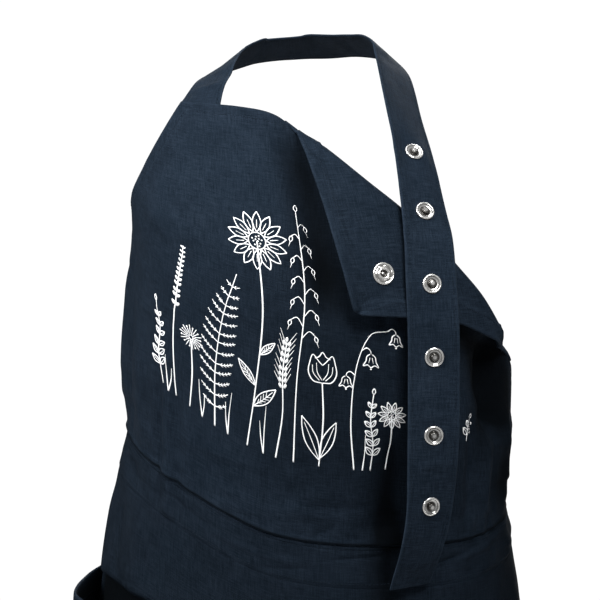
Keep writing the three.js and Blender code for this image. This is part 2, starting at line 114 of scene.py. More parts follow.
ease = table(("at", "left", "right"),
    (-495, 4, 3), (-110, 3.5, 1), (-35, 1.5, 2.5), (0, 1.5, 4.5), (60, 4, 5), (120, -1, 4.5),
    (180, -4, 3), (240, -1, 0), (300, -1, 0), (370, 0, 0))
easeStart, easeReach = 100, 110
leanStep = 2


# point at s across and t up: an arc round the front, then a tighter one round the side, moved out by h
def drape(s, t, h=0.0):
    s, t, h = np.broadcast_arrays(np.asarray(s, float), np.asarray(t, float), np.asarray(h, float))
    frontR, frontS, sideR = (follow(body, name, t) for name in ("frontR", "frontS", "sideR"))
    side = np.where(s < 0, -1.0, 1.0)
    across = np.abs(s)
    corner = frontS / frontR
    turned = across > frontS
    turn = np.where(turned, corner + (across - frontS) / sideR, across / frontR)
    front = np.minimum(turn, corner)
    x = frontR * np.sin(front) + turned * sideR * (np.sin(turn) - np.sin(corner))
    back = frontR * (1 - np.cos(front)) + turned * sideR * (np.cos(corner) - np.cos(turn))
    z = follow(body, "z", t) + follow(lift, "up", s) * follow(liftShare, "share", t)
    z = z - follow(sag, "down", s) * follow(sagShare, "share", t)
    near = np.clip(t, body["at"][0] + leanStep, body["at"][-1] - leanStep)
    deep, high = (follow(body, name, near + leanStep) - follow(body, name, near - leanStep) for name in "yz")
    normal = unit(np.stack((side * np.sin(turn), -np.cos(turn), deep / high * np.cos(turn)), -1))
    stand = np.where(s < 0, follow(ease, "left", t), follow(ease, "right", t))
    out = h + smooth((across - easeStart) / easeReach) * stand
    return np.stack((side * x, follow(body, "y", t) + back, z), -1) + normal * out[..., None]


# folds and creases: each row is a bell across a line and fades at its ends
# its numbers are s and t of its middle, length, half-width, height and tilt in degrees
def ridges(rows, s, t):
    out = np.zeros_like(s)
    for mid, up, length, half, height, tilt in rows:
        turn = np.radians(tilt)
        along = (t - up) * np.cos(turn) + (s - mid) * np.sin(turn)
        beside = (s - mid) * np.cos(turn) - (t - up) * np.sin(turn)
        ends = np.clip(1 - np.abs(along) / (length / 2), 0, 1)
        out += height * bell(beside, half) * smooth(ends * 1.6)
    return out


# small creases scattered with a fixed seed, all as arrays over the same grid
def rumple(s, t, seed, count, sRange, tRange, height, upright=0.6):
    pick = np.random.default_rng(seed)
    rows = np.stack((
        pick.uniform(*sRange, count), pick.uniform(*tRange, count), pick.uniform(18, 70, count),
        pick.uniform(3.2, 9, count), pick.choice((-1, 1), count) * pick.uniform(0.3, 1, count) * height,
        np.where(pick.random(count) < upright, pick.normal(0, 16, count), pick.normal(90, 22, count))), -1)
    return ridges(rows, s, t)


# meshes from grids

rimBulge = 0.45


# quads of a tube of n rings with m corners each
def tubeFaces(n, m):
    j = np.arange(n - 1)[:, None] * m
    k = np.arange(m)
    after = (k + 1) % m
    return np.stack((j + k, j + after, j + m + after, j + m + k), -1).reshape(-1, 4)


# the tube, and fans from its two end rings to the two points that follow them
def closedFaces(n, m):
    k = np.arange(m)
    after = (k + 1) % m
    low = np.stack((after, k, np.full(m, n * m)), -1)
    top = np.stack(((n - 1) * m + k, (n - 1) * m + after, np.full(m, n * m + 1)), -1)
    return tubeFaces(n, m).tolist() + low.tolist() + top.tolist()


# cross product of the mean directions of the steps along both ways of a grid
def gridNormals(points):
    def along(p):
        step = unit(np.diff(p, axis=0))
        total = np.zeros_like(p)
        total[:-1] += step
        total[1:] += step
        return total

    across = along(points.swapaxes(0, 1)).swapaxes(0, 1)
    return unit(np.cross(across, along(points)))


# corners in millimetres; uv and numbers hold one row or value for each corner
def makeMesh(name, corners, faces, material, uv=None, numbers=None):
    mesh = bpy.data.meshes.new(name)
    mesh.from_pydata((corners * metre).tolist(), [], faces)
    if uv is not None:
        loops = np.empty(len(mesh.loops), np.int32)
        mesh.loops.foreach_get("vertex_index", loops)
        layer = mesh.uv_layers.new(name="clothMap")
        layer.data.foreach_set("uv", (uv[loops] * metre).astype(np.float32).ravel())
    for key, values in (numbers or {}).items():
        layer = mesh.attributes.new(key, "FLOAT", "POINT")
        layer.data.foreach_set("value", np.asarray(values, np.float32))
    mesh.polygons.foreach_set("use_smooth", np.full(len(mesh.polygons), True))
    mesh.materials.append(material)
    mesh.update()
    piece = bpy.data.objects.new(name, mesh)
    bpy.context.collection.objects.link(piece)
    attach(piece, "root")
    return piece


# closed wall round a grid: front and back faces off the middle surface, and a rounded rim between them
# wear is where the cloth is rubbed; shade is painted shade in hollows and shadows, on its front and on its
# back
def clothPiece(name, points, front, back, uv, material, wear, shade=0.0, shadeBack=0.0):
    rows, columns = points.shape[:2]
    front, back, wear, shade, shadeBack = (
        np.broadcast_to(np.asarray(v, float), (rows, columns)) for v in (front, back, wear, shade, shadeBack))
    normals = gridNormals(points)
    outer = points + normals * front[..., None]
    inner = points - normals * back[..., None]
    index = np.arange(rows * columns).reshape(rows, columns)
    quads = np.stack((index[:-1, :-1], index[:-1, 1:], index[1:, 1:], index[1:, :-1]), -1).reshape(-1, 4)
    behind = quads[:, ::-1] + rows * columns
    rim = np.concatenate((index[0, :-1], index[:-1, -1], index[-1, :0:-1], index[:0:-1, 0]))
    inward = np.zeros_like(points)
    inward[0] += points[1] - points[0]
    inward[-1] += points[-2] - points[-1]
    inward[:, 0] += unit(points[:, 1] - points[:, 0])
    inward[:, -1] += unit(points[:, -2] - points[:, -1])
    away = -unit(inward.reshape(-1, 3)[rim])
    flatOuter, flatInner = outer.reshape(-1, 3), inner.reshape(-1, 3)
    wall = np.linalg.norm(flatOuter[rim] - flatInner[rim], axis=-1, keepdims=True)
    middle = (flatOuter[rim] + flatInner[rim]) / 2 + away * wall * rimBulge
    ring = np.arange(len(rim)) + 2 * rows * columns
    after = np.roll(rim, -1)
    upper = np.stack((after, rim, ring, np.roll(ring, -1)), -1)
    lower = np.stack((np.roll(ring, -1), ring, rim + rows * columns, after + rows * columns), -1)
    flatUv = uv.reshape(-1, 2)
    piece = makeMesh(name, np.concatenate((flatOuter, flatInner, middle)),
        np.concatenate((quads, behind, upper, lower)).tolist(), material,
        np.concatenate((flatUv, flatUv, flatUv[rim])),
        {"wear": np.concatenate((wear.ravel(), wear.ravel(), np.ones(len(rim)))),
            "shade": np.concatenate((shade.ravel(), shadeBack.ravel(), np.zeros(len(rim))))})
    return piece, outer, inner, normals


# stitches: short rounded threads laid end to end along a line, gathered into one mesh for each piece

thread = {"length": 2.7, "pitch": 3.3, "radius": 0.24, "bow": 0.16, "rings": 5, "sides": 6}


# rings of a thread that bows up off the cloth and thins at its two ends, at every pitch along a path
def stitchRun(path, normals):
    run = runAlong(path)
    at = np.linspace(0, run[-1], max(int(run[-1] / thread["pitch"]), 1) + 1)
    marks = np.stack([np.interp(at, run, path[:, k]) for k in range(3)], -1)
    at = (at[1:] + at[:-1]) / 2
    up = unit(np.stack([np.interp(at, run, normals[:, k]) for k in range(3)], -1))
    middle = (marks[1:] + marks[:-1]) / 2
    along = unit(marks[1:] - marks[:-1])
    side = unit(np.cross(along, up))
    f = np.linspace(-1, 1, thread["rings"])
    a = np.linspace(0, 2 * np.pi, thread["sides"], endpoint=False)
    wide = thread["radius"] * np.sqrt(np.clip(1.04 - f ** 4, 0, 1))[None, :, None]
    high = thread["bow"] * (1 - 2 * f * f)[None, :, None]
    ring = (middle[:, None, None] + along[:, None, None] * (f * thread["length"] / 2)[None, :, None, None]
        + up[:, None, None] * (high + wide * np.cos(a))[..., None]
        + side[:, None, None] * (wide * np.sin(a))[..., None])
    return ring.reshape(-1, 3), len(middle)


# one mesh of all the threads along the given lines, each line a path with its normals
def stitches(name, runs):
    groups = [stitchRun(path, normals) for path, normals in runs]
    rings, sides = thread["rings"], thread["sides"]
    k = np.arange(sides)
    j = np.arange(rings - 1)[:, None] * sides
    after = (k + 1) % sides
    wall = np.stack((j + k, j + sides + k, j + sides + after, j + after), -1).reshape(-1, 4)
    fan = np.stack((np.zeros(sides - 2, int), k[1:-1], k[2:]), -1)
    caps = np.concatenate((fan, fan[:, ::-1] + (rings - 1) * sides))
    offset = (np.arange(sum(g[1] for g in groups)) * rings * sides)[:, None, None]
    faces = (wall[None] + offset).reshape(-1, 4).tolist() + (caps[None] + offset).reshape(-1, 3).tolist()
    makeMesh(name, np.concatenate([g[0] for g in groups]), faces, threadMaterial)


# threads along lines of a piece's grid, on its front and on its back
def seams(name, grids, lines):
    front, back, normals = grids
    stitches(name, [run for line in lines
        for run in ((front[line], normals[line]), (back[line], -normals[line]))])


# materials

# a value in a shader; each sum, difference or product makes one Math node
class Signal:
    def __init__(self, finish, socket):
        self.finish, self.socket = finish, socket

    def maths(self, operation, other=None, swap=False):
        values = {0: self} if other is None else {0: other, 1: self} if swap else {0: self, 1: other}
        return self.finish.node("ShaderNodeMath", {"operation": operation}, values)

    def __add__(self, other): return self.maths("ADD", other)
    def __radd__(self, other): return self.maths("ADD", other)
    def __sub__(self, other): return self.maths("SUBTRACT", other)
    def __rsub__(self, other): return self.maths("SUBTRACT", other, True)
    def __mul__(self, other): return self.maths("MULTIPLY", other)
    def __rmul__(self, other): return self.maths("MULTIPLY", other)
    def sine(self): return self.maths("SINE")
    def clamp(self): return self.maths("MINIMUM", 1.0).maths("MAXIMUM", 0.0)


# one material and its nodes
class Finish:
    def __init__(self, name):
        self.material = bpy.data.materials.new(name)
        self.material.use_nodes = True
        self.tree = self.material.node_tree
        self.tree.nodes.clear()

    # a node with its settings and its inputs, which are signals or plain values
    def node(self, kind, settings=None, values=None, output=0):
        made = self.tree.nodes.new(kind)
        for key, value in (settings or {}).items():
            if key == "stops":
                ramp = made.color_ramp
                while len(ramp.elements) < len(value):
                    ramp.elements.new(0.5)
                for stop, (at, colour) in zip(ramp.elements, value):
                    stop.position, stop.color = at, (*colour, 1)
            else:
                setattr(made, key, value)
        for key, value in (values or {}).items():
            socket = made.inputs[key]
            if isinstance(value, Signal):
                self.tree.links.new(value.socket, socket)
            else:
                socket.default_value = value
        return Signal(self, made.outputs[output])

    # noise about a half, between 0 and 1
    def noise(self, where, scale, detail=3.0, rough=0.55):
        return self.node("ShaderNodeTexNoise", {}, {"Vector": where, "Scale": scale, "Detail": detail,
            "Roughness": rough})

    # a value that the mesh holds at each corner
    def stored(self, name):
        return self.node("ShaderNodeAttribute", {"attribute_name": name}, output="Fac")

    def objectPlace(self):
        return self.node("ShaderNodeTexCoord", output="Object")

    # a + (b - a) factor for colours
    def mixColour(self, factor, a, b):
        mixed = self.node("ShaderNodeMix", {"data_type": "RGBA", "clamp_factor": True}, {0: factor})
        made = mixed.socket.node
        for socket, value in ((made.inputs[6], a), (made.inputs[7], b)):
            if isinstance(value, Signal):
                self.tree.links.new(value.socket, socket)
            else:
                socket.default_value = (*value, 1)
        return Signal(self, made.outputs[2])

    # normal tilted by the slope of a height
    def bump(self, strength, distance, height):
        return self.node("ShaderNodeBump", {}, {"Strength": strength, "Distance": distance, "Height": height})

    # a place times a number along each axis
    def stretched(self, where, scale):
        return self.node("ShaderNodeMapping", {}, {"Vector": where, "Scale": scale})

    # the shader, joined to the output
    def surface(self, values):
        shader = self.node("ShaderNodeBsdfPrincipled", {}, values)
        out = self.tree.nodes.new("ShaderNodeOutputMaterial")
        self.tree.links.new(shader.socket, out.inputs["Surface"])
        return self.material


clothLook = {
    "deep": (0.0024, 0.0048, 0.0081), "mid": (0.0060, 0.0102, 0.0171), "light": (0.0122, 0.0188, 0.0288),
    "yarn": 0.00052, "roughness": 0.88, "weaveDepth": 0.00016, "shadeShare": 0.95,
}


# plain weave: warp and weft are sine ridges across the cloth map that pass over each other in turn
def clothFinish(name, paintedLightLevel):
    made = Finish(name)
    where = made.node("ShaderNodeUVMap", {"uv_map": "clothMap"})
    s, t = (made.node("ShaderNodeSeparateXYZ", {}, {0: where}, axis) for axis in "XY")
    turn = np.pi / clothLook["yarn"]
    warp, weft = (s * turn).sine(), (t * turn).sine()
    over = warp * weft
    warpRidge, weftRidge = ((along * turn * 2.0).sine() * 0.5 + 0.5 for along in (s, t))
    weave = (over * 0.5 + 0.5) * warpRidge + (0.5 - over * 0.5) * weftRidge

    # mean of two noises, each stretched along one way of the cloth
    def yarns(up, across):
        return (made.noise(made.stretched(where, up), 1.0, 2.0)
            + made.noise(made.stretched(where, across), 1.0, 2.0)) * 0.5

    slub = yarns((1900, 90, 1), (90, 1900, 1))
    thick = yarns((1000, 60, 1), (70, 1000, 1))
    fleck = made.noise(where, 2600.0, 1.0)
    cloud = made.noise(where, 26.0, 4.0, 0.62)
    blotch = made.noise(made.stretched(where, (9, 4.5, 1)), 1.0, 3.0)
    rub = (made.stored("wear") * made.noise(where, 420.0, 2.0) * 0.85).clamp()
    worked = ((slub - 0.5) * 2.8 + (thick - 0.5) * 2.2 + (fleck - 0.5) * 3.2 + (weave - 0.5) * 0.35
        + (cloud - 0.5) * 0.9 + 0.46).clamp()
    # painted light and shade: the piece's level makes all its colours lighter or darker
    deep, mid, light = (tuple(paintedLightLevel * c for c in clothLook[k]) for k in ("deep", "mid", "light"))
    base = made.node("ShaderNodeValToRGB", {"stops": ((0.0, deep), (0.5, mid), (1.0, light))}, {0: worked})
    cool = tuple(c * f for c, f in zip(mid, (0.86, 1.0, 1.04)))
    tinted = made.mixColour(((blotch - 0.45) * 2.2).clamp() * 0.35, base, cool)
    rubbed = made.mixColour(rub * 0.55, tinted, tuple(c * 1.35 for c in light))
    # painted shade: the stored shade darkens the colour towards near black
    colour = made.mixColour(made.stored("shade") * clothLook["shadeShare"], rubbed, (0.0004, 0.0007, 0.0011))
    height = weave * 0.55 + slub * 0.9 + thick * 1.3 + fleck * 0.35
    bump = made.bump(0.7, clothLook["weaveDepth"] * 2, height)
    rough = (cloud - 0.5) * 0.16 + clothLook["roughness"]
    return made.surface({"Base Color": colour, "Roughness": rough, "Normal": bump,
        "Specular IOR Level": 0.055, "Specular Tint": (0.75, 0.88, 1.0, 1)})


# thread: noise mixes a deep blue with a lighter one
def threadFinish():
    made = Finish("threadFinish")
    where = made.objectPlace()
    twist = made.noise(where, 2200.0, 2.0)
    colour = made.mixColour(twist, (0.0032, 0.0060, 0.0108), (0.0072, 0.0130, 0.0212))
    bump = made.bump(0.4, 0.0001, twist)
    return made.surface({"Base Color": colour, "Roughness": 0.7, "Specular IOR Level": 0.07, "Normal": bump})


# ink: fine grain and broad patches mix two whites
def printFinish():
    made = Finish("printFinish")
    where = made.objectPlace()
    grain = made.noise(where, 1500.0, 2.0)
    patch = made.noise(where, 60.0, 3.0)
    worn = ((grain - 0.35) * 1.6).clamp() * 0.5 + patch * 0.3
    colour = made.mixColour(worn, (0.80, 0.81, 0.82), (0.93, 0.93, 0.92))
    bump = made.bump(0.3, 0.00012, grain)
    return made.surface({"Base Color": colour, "Roughness": patch * 0.1 + 0.6, "Normal": bump})


# metal: smudges mix two greys, and the stored painted shade and dark reflection darken them
def metalFinish():
    made = Finish("snapMetal")
    where = made.objectPlace()
    fine = made.noise(made.stretched(where, (1, 1, 7)), 900.0, 3.0)
    smudge = made.noise(where, 190.0, 4.0)
    shade = made.stored("shade")
    plated = made.mixColour(((smudge - 0.45) * 2.4).clamp(), (0.72, 0.71, 0.69), (0.60, 0.59, 0.56))
    colour = made.mixColour(shade, plated, (0.018, 0.016, 0.013))
    scratched = made.bump(0.015, 0.00001, fine)
    return made.surface({"Base Color": colour, "Metallic": 0.74, "Roughness": smudge * 0.06 + 0.15,
        "Normal": scratched})


# painted light and shade: one cloth, made lighter for the bib and strap and darker for the band and skirt
paintedLightLevels = {"bib": 1.1, "band": 0.84, "skirt": 0.75, "strap": 1.2}
clothBib, clothBand, clothSkirt, clothStrap = (
    clothFinish(name + "Cloth", paintedLightLevel) for name, paintedLightLevel in paintedLightLevels.items())
threadMaterial, printMaterial, metalMaterial = threadFinish(), printFinish(), metalFinish()
print("finishes made")

# bib

bib = {
    "half": 244.8, "wall": 1.4, "hem": 10.0, "hemStep": 1.0, "rows": 150, "columns": 146,
    "radius": 4.5, "rollRows": 14, "flapRows": 46, "lift": 7.0, "reach": 97.0,
    "sideEnd": 0.836, "topStart": 0.84, "topRows": 37, "slant": 0.5, "seam": 8.6,
}
bibEdges = table(("at", "leftS", "leftT", "rightS", "rightT"),
    (0, -bib["half"], 0, bib["half"], 0),
    (0.17, -243, 70, 245, 40),
    (0.33, -241, 140, 243, 74),
    (0.45, -238, 188, 238, 98),
    (0.53, -222, 216, 230, 116),
    (0.62, -190, 254, 219, 139),
    (0.72, -155, 302, 206, 158),
    (0.836, -125.2, 348.4, 190.2, 171.5),
    (0.84, -124, 350, 189.6, 172),
    (0.844, -121.6, 350.2, 189, 172.5),
    (0.88, -97, 352, 182, 177.5),
    (0.92, -69, 353, 174, 181.5),
    (0.955, -46, 351, 166, 184.5),
    (0.98, -32, 344, 160, 186),
    (1, -22.5, 331.5, 156, 186.5))
foldLine = table(("at", "s", "t"),
    (0, -22.5, 331.5), (0.13, 0.3, 311), (0.27, 27.3, 290.3), (0.41, 56, 272.8), (0.53, 79.6, 257.6),
    (0.65, 102, 242), (0.77, 124, 226), (0.88, 141, 208.5), (0.95, 150, 196.5), (1, 156, 186.5))
flapEdges = table(("at", "hemS", "hemT", "armS", "armT"),
    (0, -22.5, 331.5, 156, 186.5),
    (0.25, -14, 299, 134, 193.5),
    (0.5, -4.5, 266, 102, 200),
    (0.75, 4, 233, 60, 195.5),
    (1, 14.2, 194, 20.5, 191))

# soft folds of the bib: s, t, length, half-width, height, tilt
bibFolds = (
    (150, 24, 80, 4, -2.4, 8), (126, 30, 70, 5, 2.0, -6), (172, 42, 90, 5, -2.4, 4),
    (113, 62, 150, 5, 3.4, 0), (126, 74, 150, 4.4, -4.2, 1), (143, 60, 150, 6, 4.6, 2),
    (159, 50, 120, 4.6, -4.0, 0), (178, 62, 150, 7, 4.6, 2), (196, 44, 110, 5.4, -3.8, -2),
    (217, 62, 130, 7, 4.2, -2), (-212, 84, 180, 9, 3.0, 0), (-190, 60, 150, 7, -2.6, 3),
    (-170, 52, 130, 7, 2.4, 2), (-146, 30, 120, 4.2, -3.4, 1), (-136, 34, 110, 4.2, 2.8, 0),
    (-126, 30, 110, 3.8, -3.0, -1), (-115, 26, 90, 4.4, 2.2, -3), (-50, 40, 66, 2.0, -1.4, 0),
    (-54, 40, 60, 3.0, 1.0, 0), (-30, 20, 120, 4, 0.8, 86), (60, 14, 110, 4, -0.9, 91),
    (8, 30, 90, 4, -0.7, 84), (-90, 44, 100, 4.4, 0.7, 80), (-6, 8, 34, 3, -0.9, 60),
    (-110, 250, 120, 16, 1.8, 24), (-40, 300, 90, 12, -1.6, 30), (-170, 210, 120, 12, 1.8, 30),
    (-190, 170, 110, 9, -1.6, 20), (-206, 236, 70, 7, 1.2, 36),
)
# places where the bib falls in: behind the folded corner's left edge, below its right end, beside the strap
bibHollows = (
    (-15, 260, 200, 14, -10.0, -10), (154, 148, 130, 17, -17.0, 0), (136, 168, 80, 24, -6.0, 0),
    (46, 34, 190, 13, -9.0, 3),
)


# folds, hollows, two kinds of small creases, and a roll at the waist seam, added up
def bibRelief(s, t):
    rolled = 0.8 * bell(t, 2.6)
    small = rumple(s, t, 11, 110, (-240, 240), (5, 345), 1.0)
    waist = rumple(s, t, 12, 90, (-240, 240), (2, 60), 1.2, 0.7) * smooth((70 - t) / 40)
    hollow = ridges(bibHollows, s, t) * smooth((t - 1) / 24)
    return ridges(bibFolds, s, t) + hollow + small + waist + rolled


# painted shade and shadow on the bib, as soft spots: s, t, length, half-width, depth of shade, tilt
# they darken the corner's and the strap's shadows, the hollow under the corner's right end, the right side
# and the middle
shadeSpots = (
    (-13, 262, 210, 18, 0.85, -10), (162, 152, 130, 24, 0.9, 0), (128, 182, 90, 17, 0.9, -63),
    (176, 100, 220, 18, 0.6, 0), (138, 128, 150, 14, 0.6, 0), (5, 130, 300, 62, 0.3, 0),
    (50, 30, 190, 11, 0.7, 3),
)
# painted shade as soft spots that go on over the waist: the strap's shadow and the darker right side
lowShadeSpots = (
    (50, -15, 120, 13, 0.7, 3), (38, 0, 160, 12, 0.3, 3), (190, -20, 260, 44, 0.7, 0),
    (108, 60, 150, 16, 0.3, 0), (250, -60, 300, 30, 0.8, 0),
)


# painted shade: sum of the spots over the waist, held between 0 and 1
def lowShade(s, t):
    return np.clip(ridges(lowShadeSpots, s, t), 0, 1)


# painted shade: sum of all spots on the bib, held between 0 and 1
def bibShades(s, t):
    return np.clip(ridges(shadeSpots, s, t) + ridges(lowShadeSpots, s, t), 0, 1)


# distances from the edge of the columns that follow a hem
hemColumns = np.array((0, 0.8, 2.2, 4.2, 6.6, 8.6, 9.6, 10.6, 12.6, 15.5))


# places from 0 to 1 across each row: columns at fixed distances from both hems, and even ones between them
def acrossRows(length, sinLeft, sinRight, columns):
    length = length[:, None]
    left = hemColumns[None] / sinLeft[:, None] / length
    right = hemColumns[None] / sinRight[:, None] / length
    fit = np.minimum(1, 0.4 / np.maximum(left[:, -1:], right[:, -1:]))
    left, right = left * fit, right * fit
    middle = left[:, -1:] + (1 - right[:, -1:] - left[:, -1:]) * np.linspace(0, 1, columns + 2)[None, 1:-1]
    return np.concatenate((left, middle, 1 - right[:, ::-1]), 1)


# sine of the angle between an edge and the rows that end on it
def edgeSine(edgeS, edgeT, rowS, rowT):
    edge = np.stack((np.gradient(edgeS), np.gradient(edgeT)), -1)
    row = np.stack((rowS, rowT), -1)
    cross = edge[:, 0] * row[:, 1] - edge[:, 1] * row[:, 0]
    sine = np.abs(cross) / (np.linalg.norm(edge, axis=1) * np.linalg.norm(row, axis=1) + 1e-9)
    return np.clip(sine, 0.35, 1)


# place on the fold line
def foldPlace(u):
    return follow(foldLine, "s", u), follow(foldLine, "t", u)


# place on the bib: between its two edges, and bowed more and more towards the fold line above its middle
def bibPlace(u, v):
    edge = {name: follow(bibEdges, name, v) for name in ("leftS", "leftT", "rightS", "rightT")}
    bowed = smooth((v - 0.45) / 0.55)
    foldS, foldT = foldPlace(u)
    (startS, startT), (endS, endT) = foldPlace(0.0), foldPlace(1.0)
    s = between(edge["leftS"], edge["rightS"], u) + bowed * (foldS - between(startS, endS, u))
    t = between(edge["leftT"], edge["rightT"], u) + bowed * (foldT - between(startT, endT, u))
    return s, t


# place on the folded corner: between the fold line and the last row, with what its edges leave over
def flapPlace(u, v):
    def blend(name, hem, arm):
        def leftOver(edge):
            first, last = (follow(flapEdges, edge, end) for end in (0, 1))
            return follow(flapEdges, edge, v) - between(first, last, v)

        last = between(follow(flapEdges, hem, 1), follow(flapEdges, arm, 1), u)
        rows = between(follow(foldLine, name, u), last, v)
        return rows + between(leftOver(hem), leftOver(arm), u)
    return blend("s", "hemS", "armS"), blend("t", "hemT", "armT")


# turned over the straight line between the fold's two ends
def mirrored(s, t):
    (startS, startT), (endS, endT) = foldPlace(0.0), foldPlace(1.0)
    along = unit(np.array((endS - startS, endT - startT)))
    beyond = np.array((-along[1], along[0]))
    off = (s - startS) * beyond[0] + (t - startT) * beyond[1]
    return s - 2 * off * beyond[0], t - 2 * off * beyond[1]


# the fold's roll gets slimmer at its two ends
def foldSlim(u):
    return 0.45 + 0.55 * smooth(u / 0.12) * smooth((1 - u) / 0.06)


# distance from the fold line, over the folded corner's reach
def flapReach(u, s, t):
    startS, startT = foldPlace(u)
    return np.hypot(s - startS, t - startT) / bib["reach"]


# the folded corner stands off the bib by a power of its reach
def flapLift(reach):
    return bib["lift"] * np.minimum(reach, 1.2) ** 0.8


# places across rows between two edges of a table, and their distances from the nearer edge
def rowsBetween(edges, names, at, settled):
    left, right = ([follow(edges, name + axis, at) for axis in "ST"] for name in names)
    rowS, rowT = right[0] - left[0], right[1] - left[1]
    length = np.hypot(rowS, rowT)
    sines = [settled(edgeSine(*edge, rowS, rowT)) for edge in (left, right)]
    u = acrossRows(length, *sines, bib["columns"])
    left, right = ((length * sine)[:, None] for sine in sines)
    return u, np.minimum(u * left, (1 - u) * right)


# one grid: the bib up to its fold line, half a turn round the roll, and down the folded corner
def bibGrid():
    v = np.concatenate((np.linspace(0, bib["sideEnd"], bib["rows"]),
        np.linspace(bib["topStart"], 1, bib["topRows"])))
    u, edge = rowsBetween(bibEdges, ("left", "right"), v,
        lambda sine: between(sine, bib["slant"], smooth((v - 0.9) / 0.1)))
    s, t = bibPlace(u, v[:, None])
    # relief fades at the edges and into the roll
    relief = bibRelief(s, t) * smooth(edge / 14 + 0.25)
    points = drape(s, t, relief * smooth((1 - v) / 0.1)[:, None])
    foldU, foldS, foldT = u[-1], s[-1], t[-1]
    before, after = (flapPlace(np.clip(foldU + step, 0, 1), 0.0) for step in (-0.02, 0.02))
    run = np.hypot(after[0] - before[0], after[1] - before[1])
    beyondS, beyondT = (before[1] - after[1]) / run, (after[0] - before[0]) / run
    flat = drape(foldS, foldT)
    beyond = unit(drape(foldS + beyondS, foldT + beyondT) - flat)
    normal = drape(foldS, foldT, 1.0) - flat
    turn = np.pi * np.arange(1, bib["rollRows"])[:, None, None] / bib["rollRows"]
    slim = foldSlim(foldU)[:, None]
    roll = flat + bib["radius"] * slim * (np.sin(turn) * beyond + (1 - np.cos(turn)) * normal)
    rollEdge = np.repeat(edge[-1:], bib["rollRows"] - 1, 0)
    stretch = np.arange(1, bib["rollRows"])[:, None] / bib["rollRows"] * np.pi * bib["radius"]
    rollUv = np.stack((foldS + beyondS * stretch, foldT + beyondT * stretch), -1)
    # the folded corner
    down = np.linspace(0, 1, bib["flapRows"] + 1)
    flapU, flapEdge = rowsBetween(flapEdges, ("hem", "arm"), down,
        lambda sine: between(bib["slant"], sine, smooth(down / 0.12)))
    flapS, flapT = flapPlace(flapU, down[:, None])
    reach = flapReach(flapU, flapS, flapT)
    clothS, clothT = mirrored(flapS, flapT)
    wave = (1.1 * np.sin(clothS / 17 + clothT / 23) * smooth(reach * 1.5)
        + rumple(clothS, clothT, 14, 26, (-40, 170), (200, 350), 0.5))
    thick = 2 * bib["radius"] * between(foldSlim(flapU), 1, smooth(down[:, None] / 0.2))
    flap = drape(flapS, flapT, thick + flapLift(reach) + wave * smooth(reach * 3))
    full = np.pi * bib["radius"]
    flapUv = np.stack((clothS + beyondS.mean() * full, clothT + beyondT.mean() * full), -1)
    uv = np.concatenate((np.stack((s, t), -1), rollUv, flapUv))
    return np.concatenate((points, roll, flap)), uv, np.concatenate((edge, rollEdge, flapEdge)), len(v)


points, uv, edge, fullRows = bibGrid()
s, t = uv[..., 0], uv[..., 1]
hemmed = smooth((bib["hem"] + 0.6 - edge) / 1.0)
pucker = 0.2 * np.sin(t / 1.9 + s / 2.3) * bell(edge - bib["seam"], 2.5)
pucker = pucker - 0.3 * bell(edge - bib["seam"], 0.8)
seamWear = bell(edge, 1.6) * 0.9 + 0.35 * bell(edge - bib["hem"], 0.9)
hemBack = bib["wall"] / 2 + bib["hemStep"] * hemmed + pucker
# painted shade: the spots, and a line of painted shadow under the bib's edge at the waist seam
bibShade = np.clip(bibShades(s, t) + 0.9 * bell(t - 0.3, 1.1), 0, 1)
seamDrop = 0.9 * bell(t, 2.2)
for values in (bibShade, seamDrop):
    values[fullRows:] = 0
bibPiece, *grids = clothPiece("bibCloth", points, bib["wall"] / 2 + pucker + seamDrop * 0.5, hemBack, uv,
    clothBib, seamWear, bibShade)
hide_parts("bib")
stitchColumns = (5, -6)
seams("bibStitching", grids, [np.s_[3:-2, column] for column in stitchColumns])
print("bib made")

# waistband and skirt

band = {
    "half": 306, "height": 35, "gap": 0.4, "wall": 2.0, "rows": 56, "columns": 260,
    "seam": 4.6, "lowSeam": 3.2,
}
skirt = {"length": 460, "flare": 0.1, "wall": 1.4, "rows": 170, "columns": 250, "hem": 18, "sideHem": 10}
flute = {"pitch": 105, "depth": 9, "start": -150}
pocket = {
    "top": -109, "rows": 7, "rowPitch": 23, "from": 7, "to": 13, "pitch": 20.4, "dip": 12, "slant": 13,
    "gape": 21, "bulge": 6, "wall": 1.4, "gap": 0.4, "hem": 18, "across": 90, "up": 90, "dent": 5,
}
bandCreases = (
    (-146, -14, 60, 4.6, -2.0, 1), (-126, -14, 60, 4.2, -1.8, -1), (-136, -14, 60, 4.2, 1.6, 0),
    (50, -18, 80, 9, -3.4, 0), (127, -16, 60, 5, -2.0, 0), (143, -16, 60, 7, 2.0, 0),
    (178, -16, 60, 8, 2.2, 0), (-40, -27, 60, 2.4, -0.8, 76), (96, -17, 60, 2.6, -2.2, 78),
    (140, -12, 70, 3.0, 2.0, 80), (30, -10, 80, 2.2, -1.0, 84), (-60, -20, 90, 3, 0.8, 88),
    (-120, -16, 70, 3, -0.8, 96), (190, -20, 60, 3, 1.2, 84), (-200, -14, 60, 3, 0.9, 80),
)


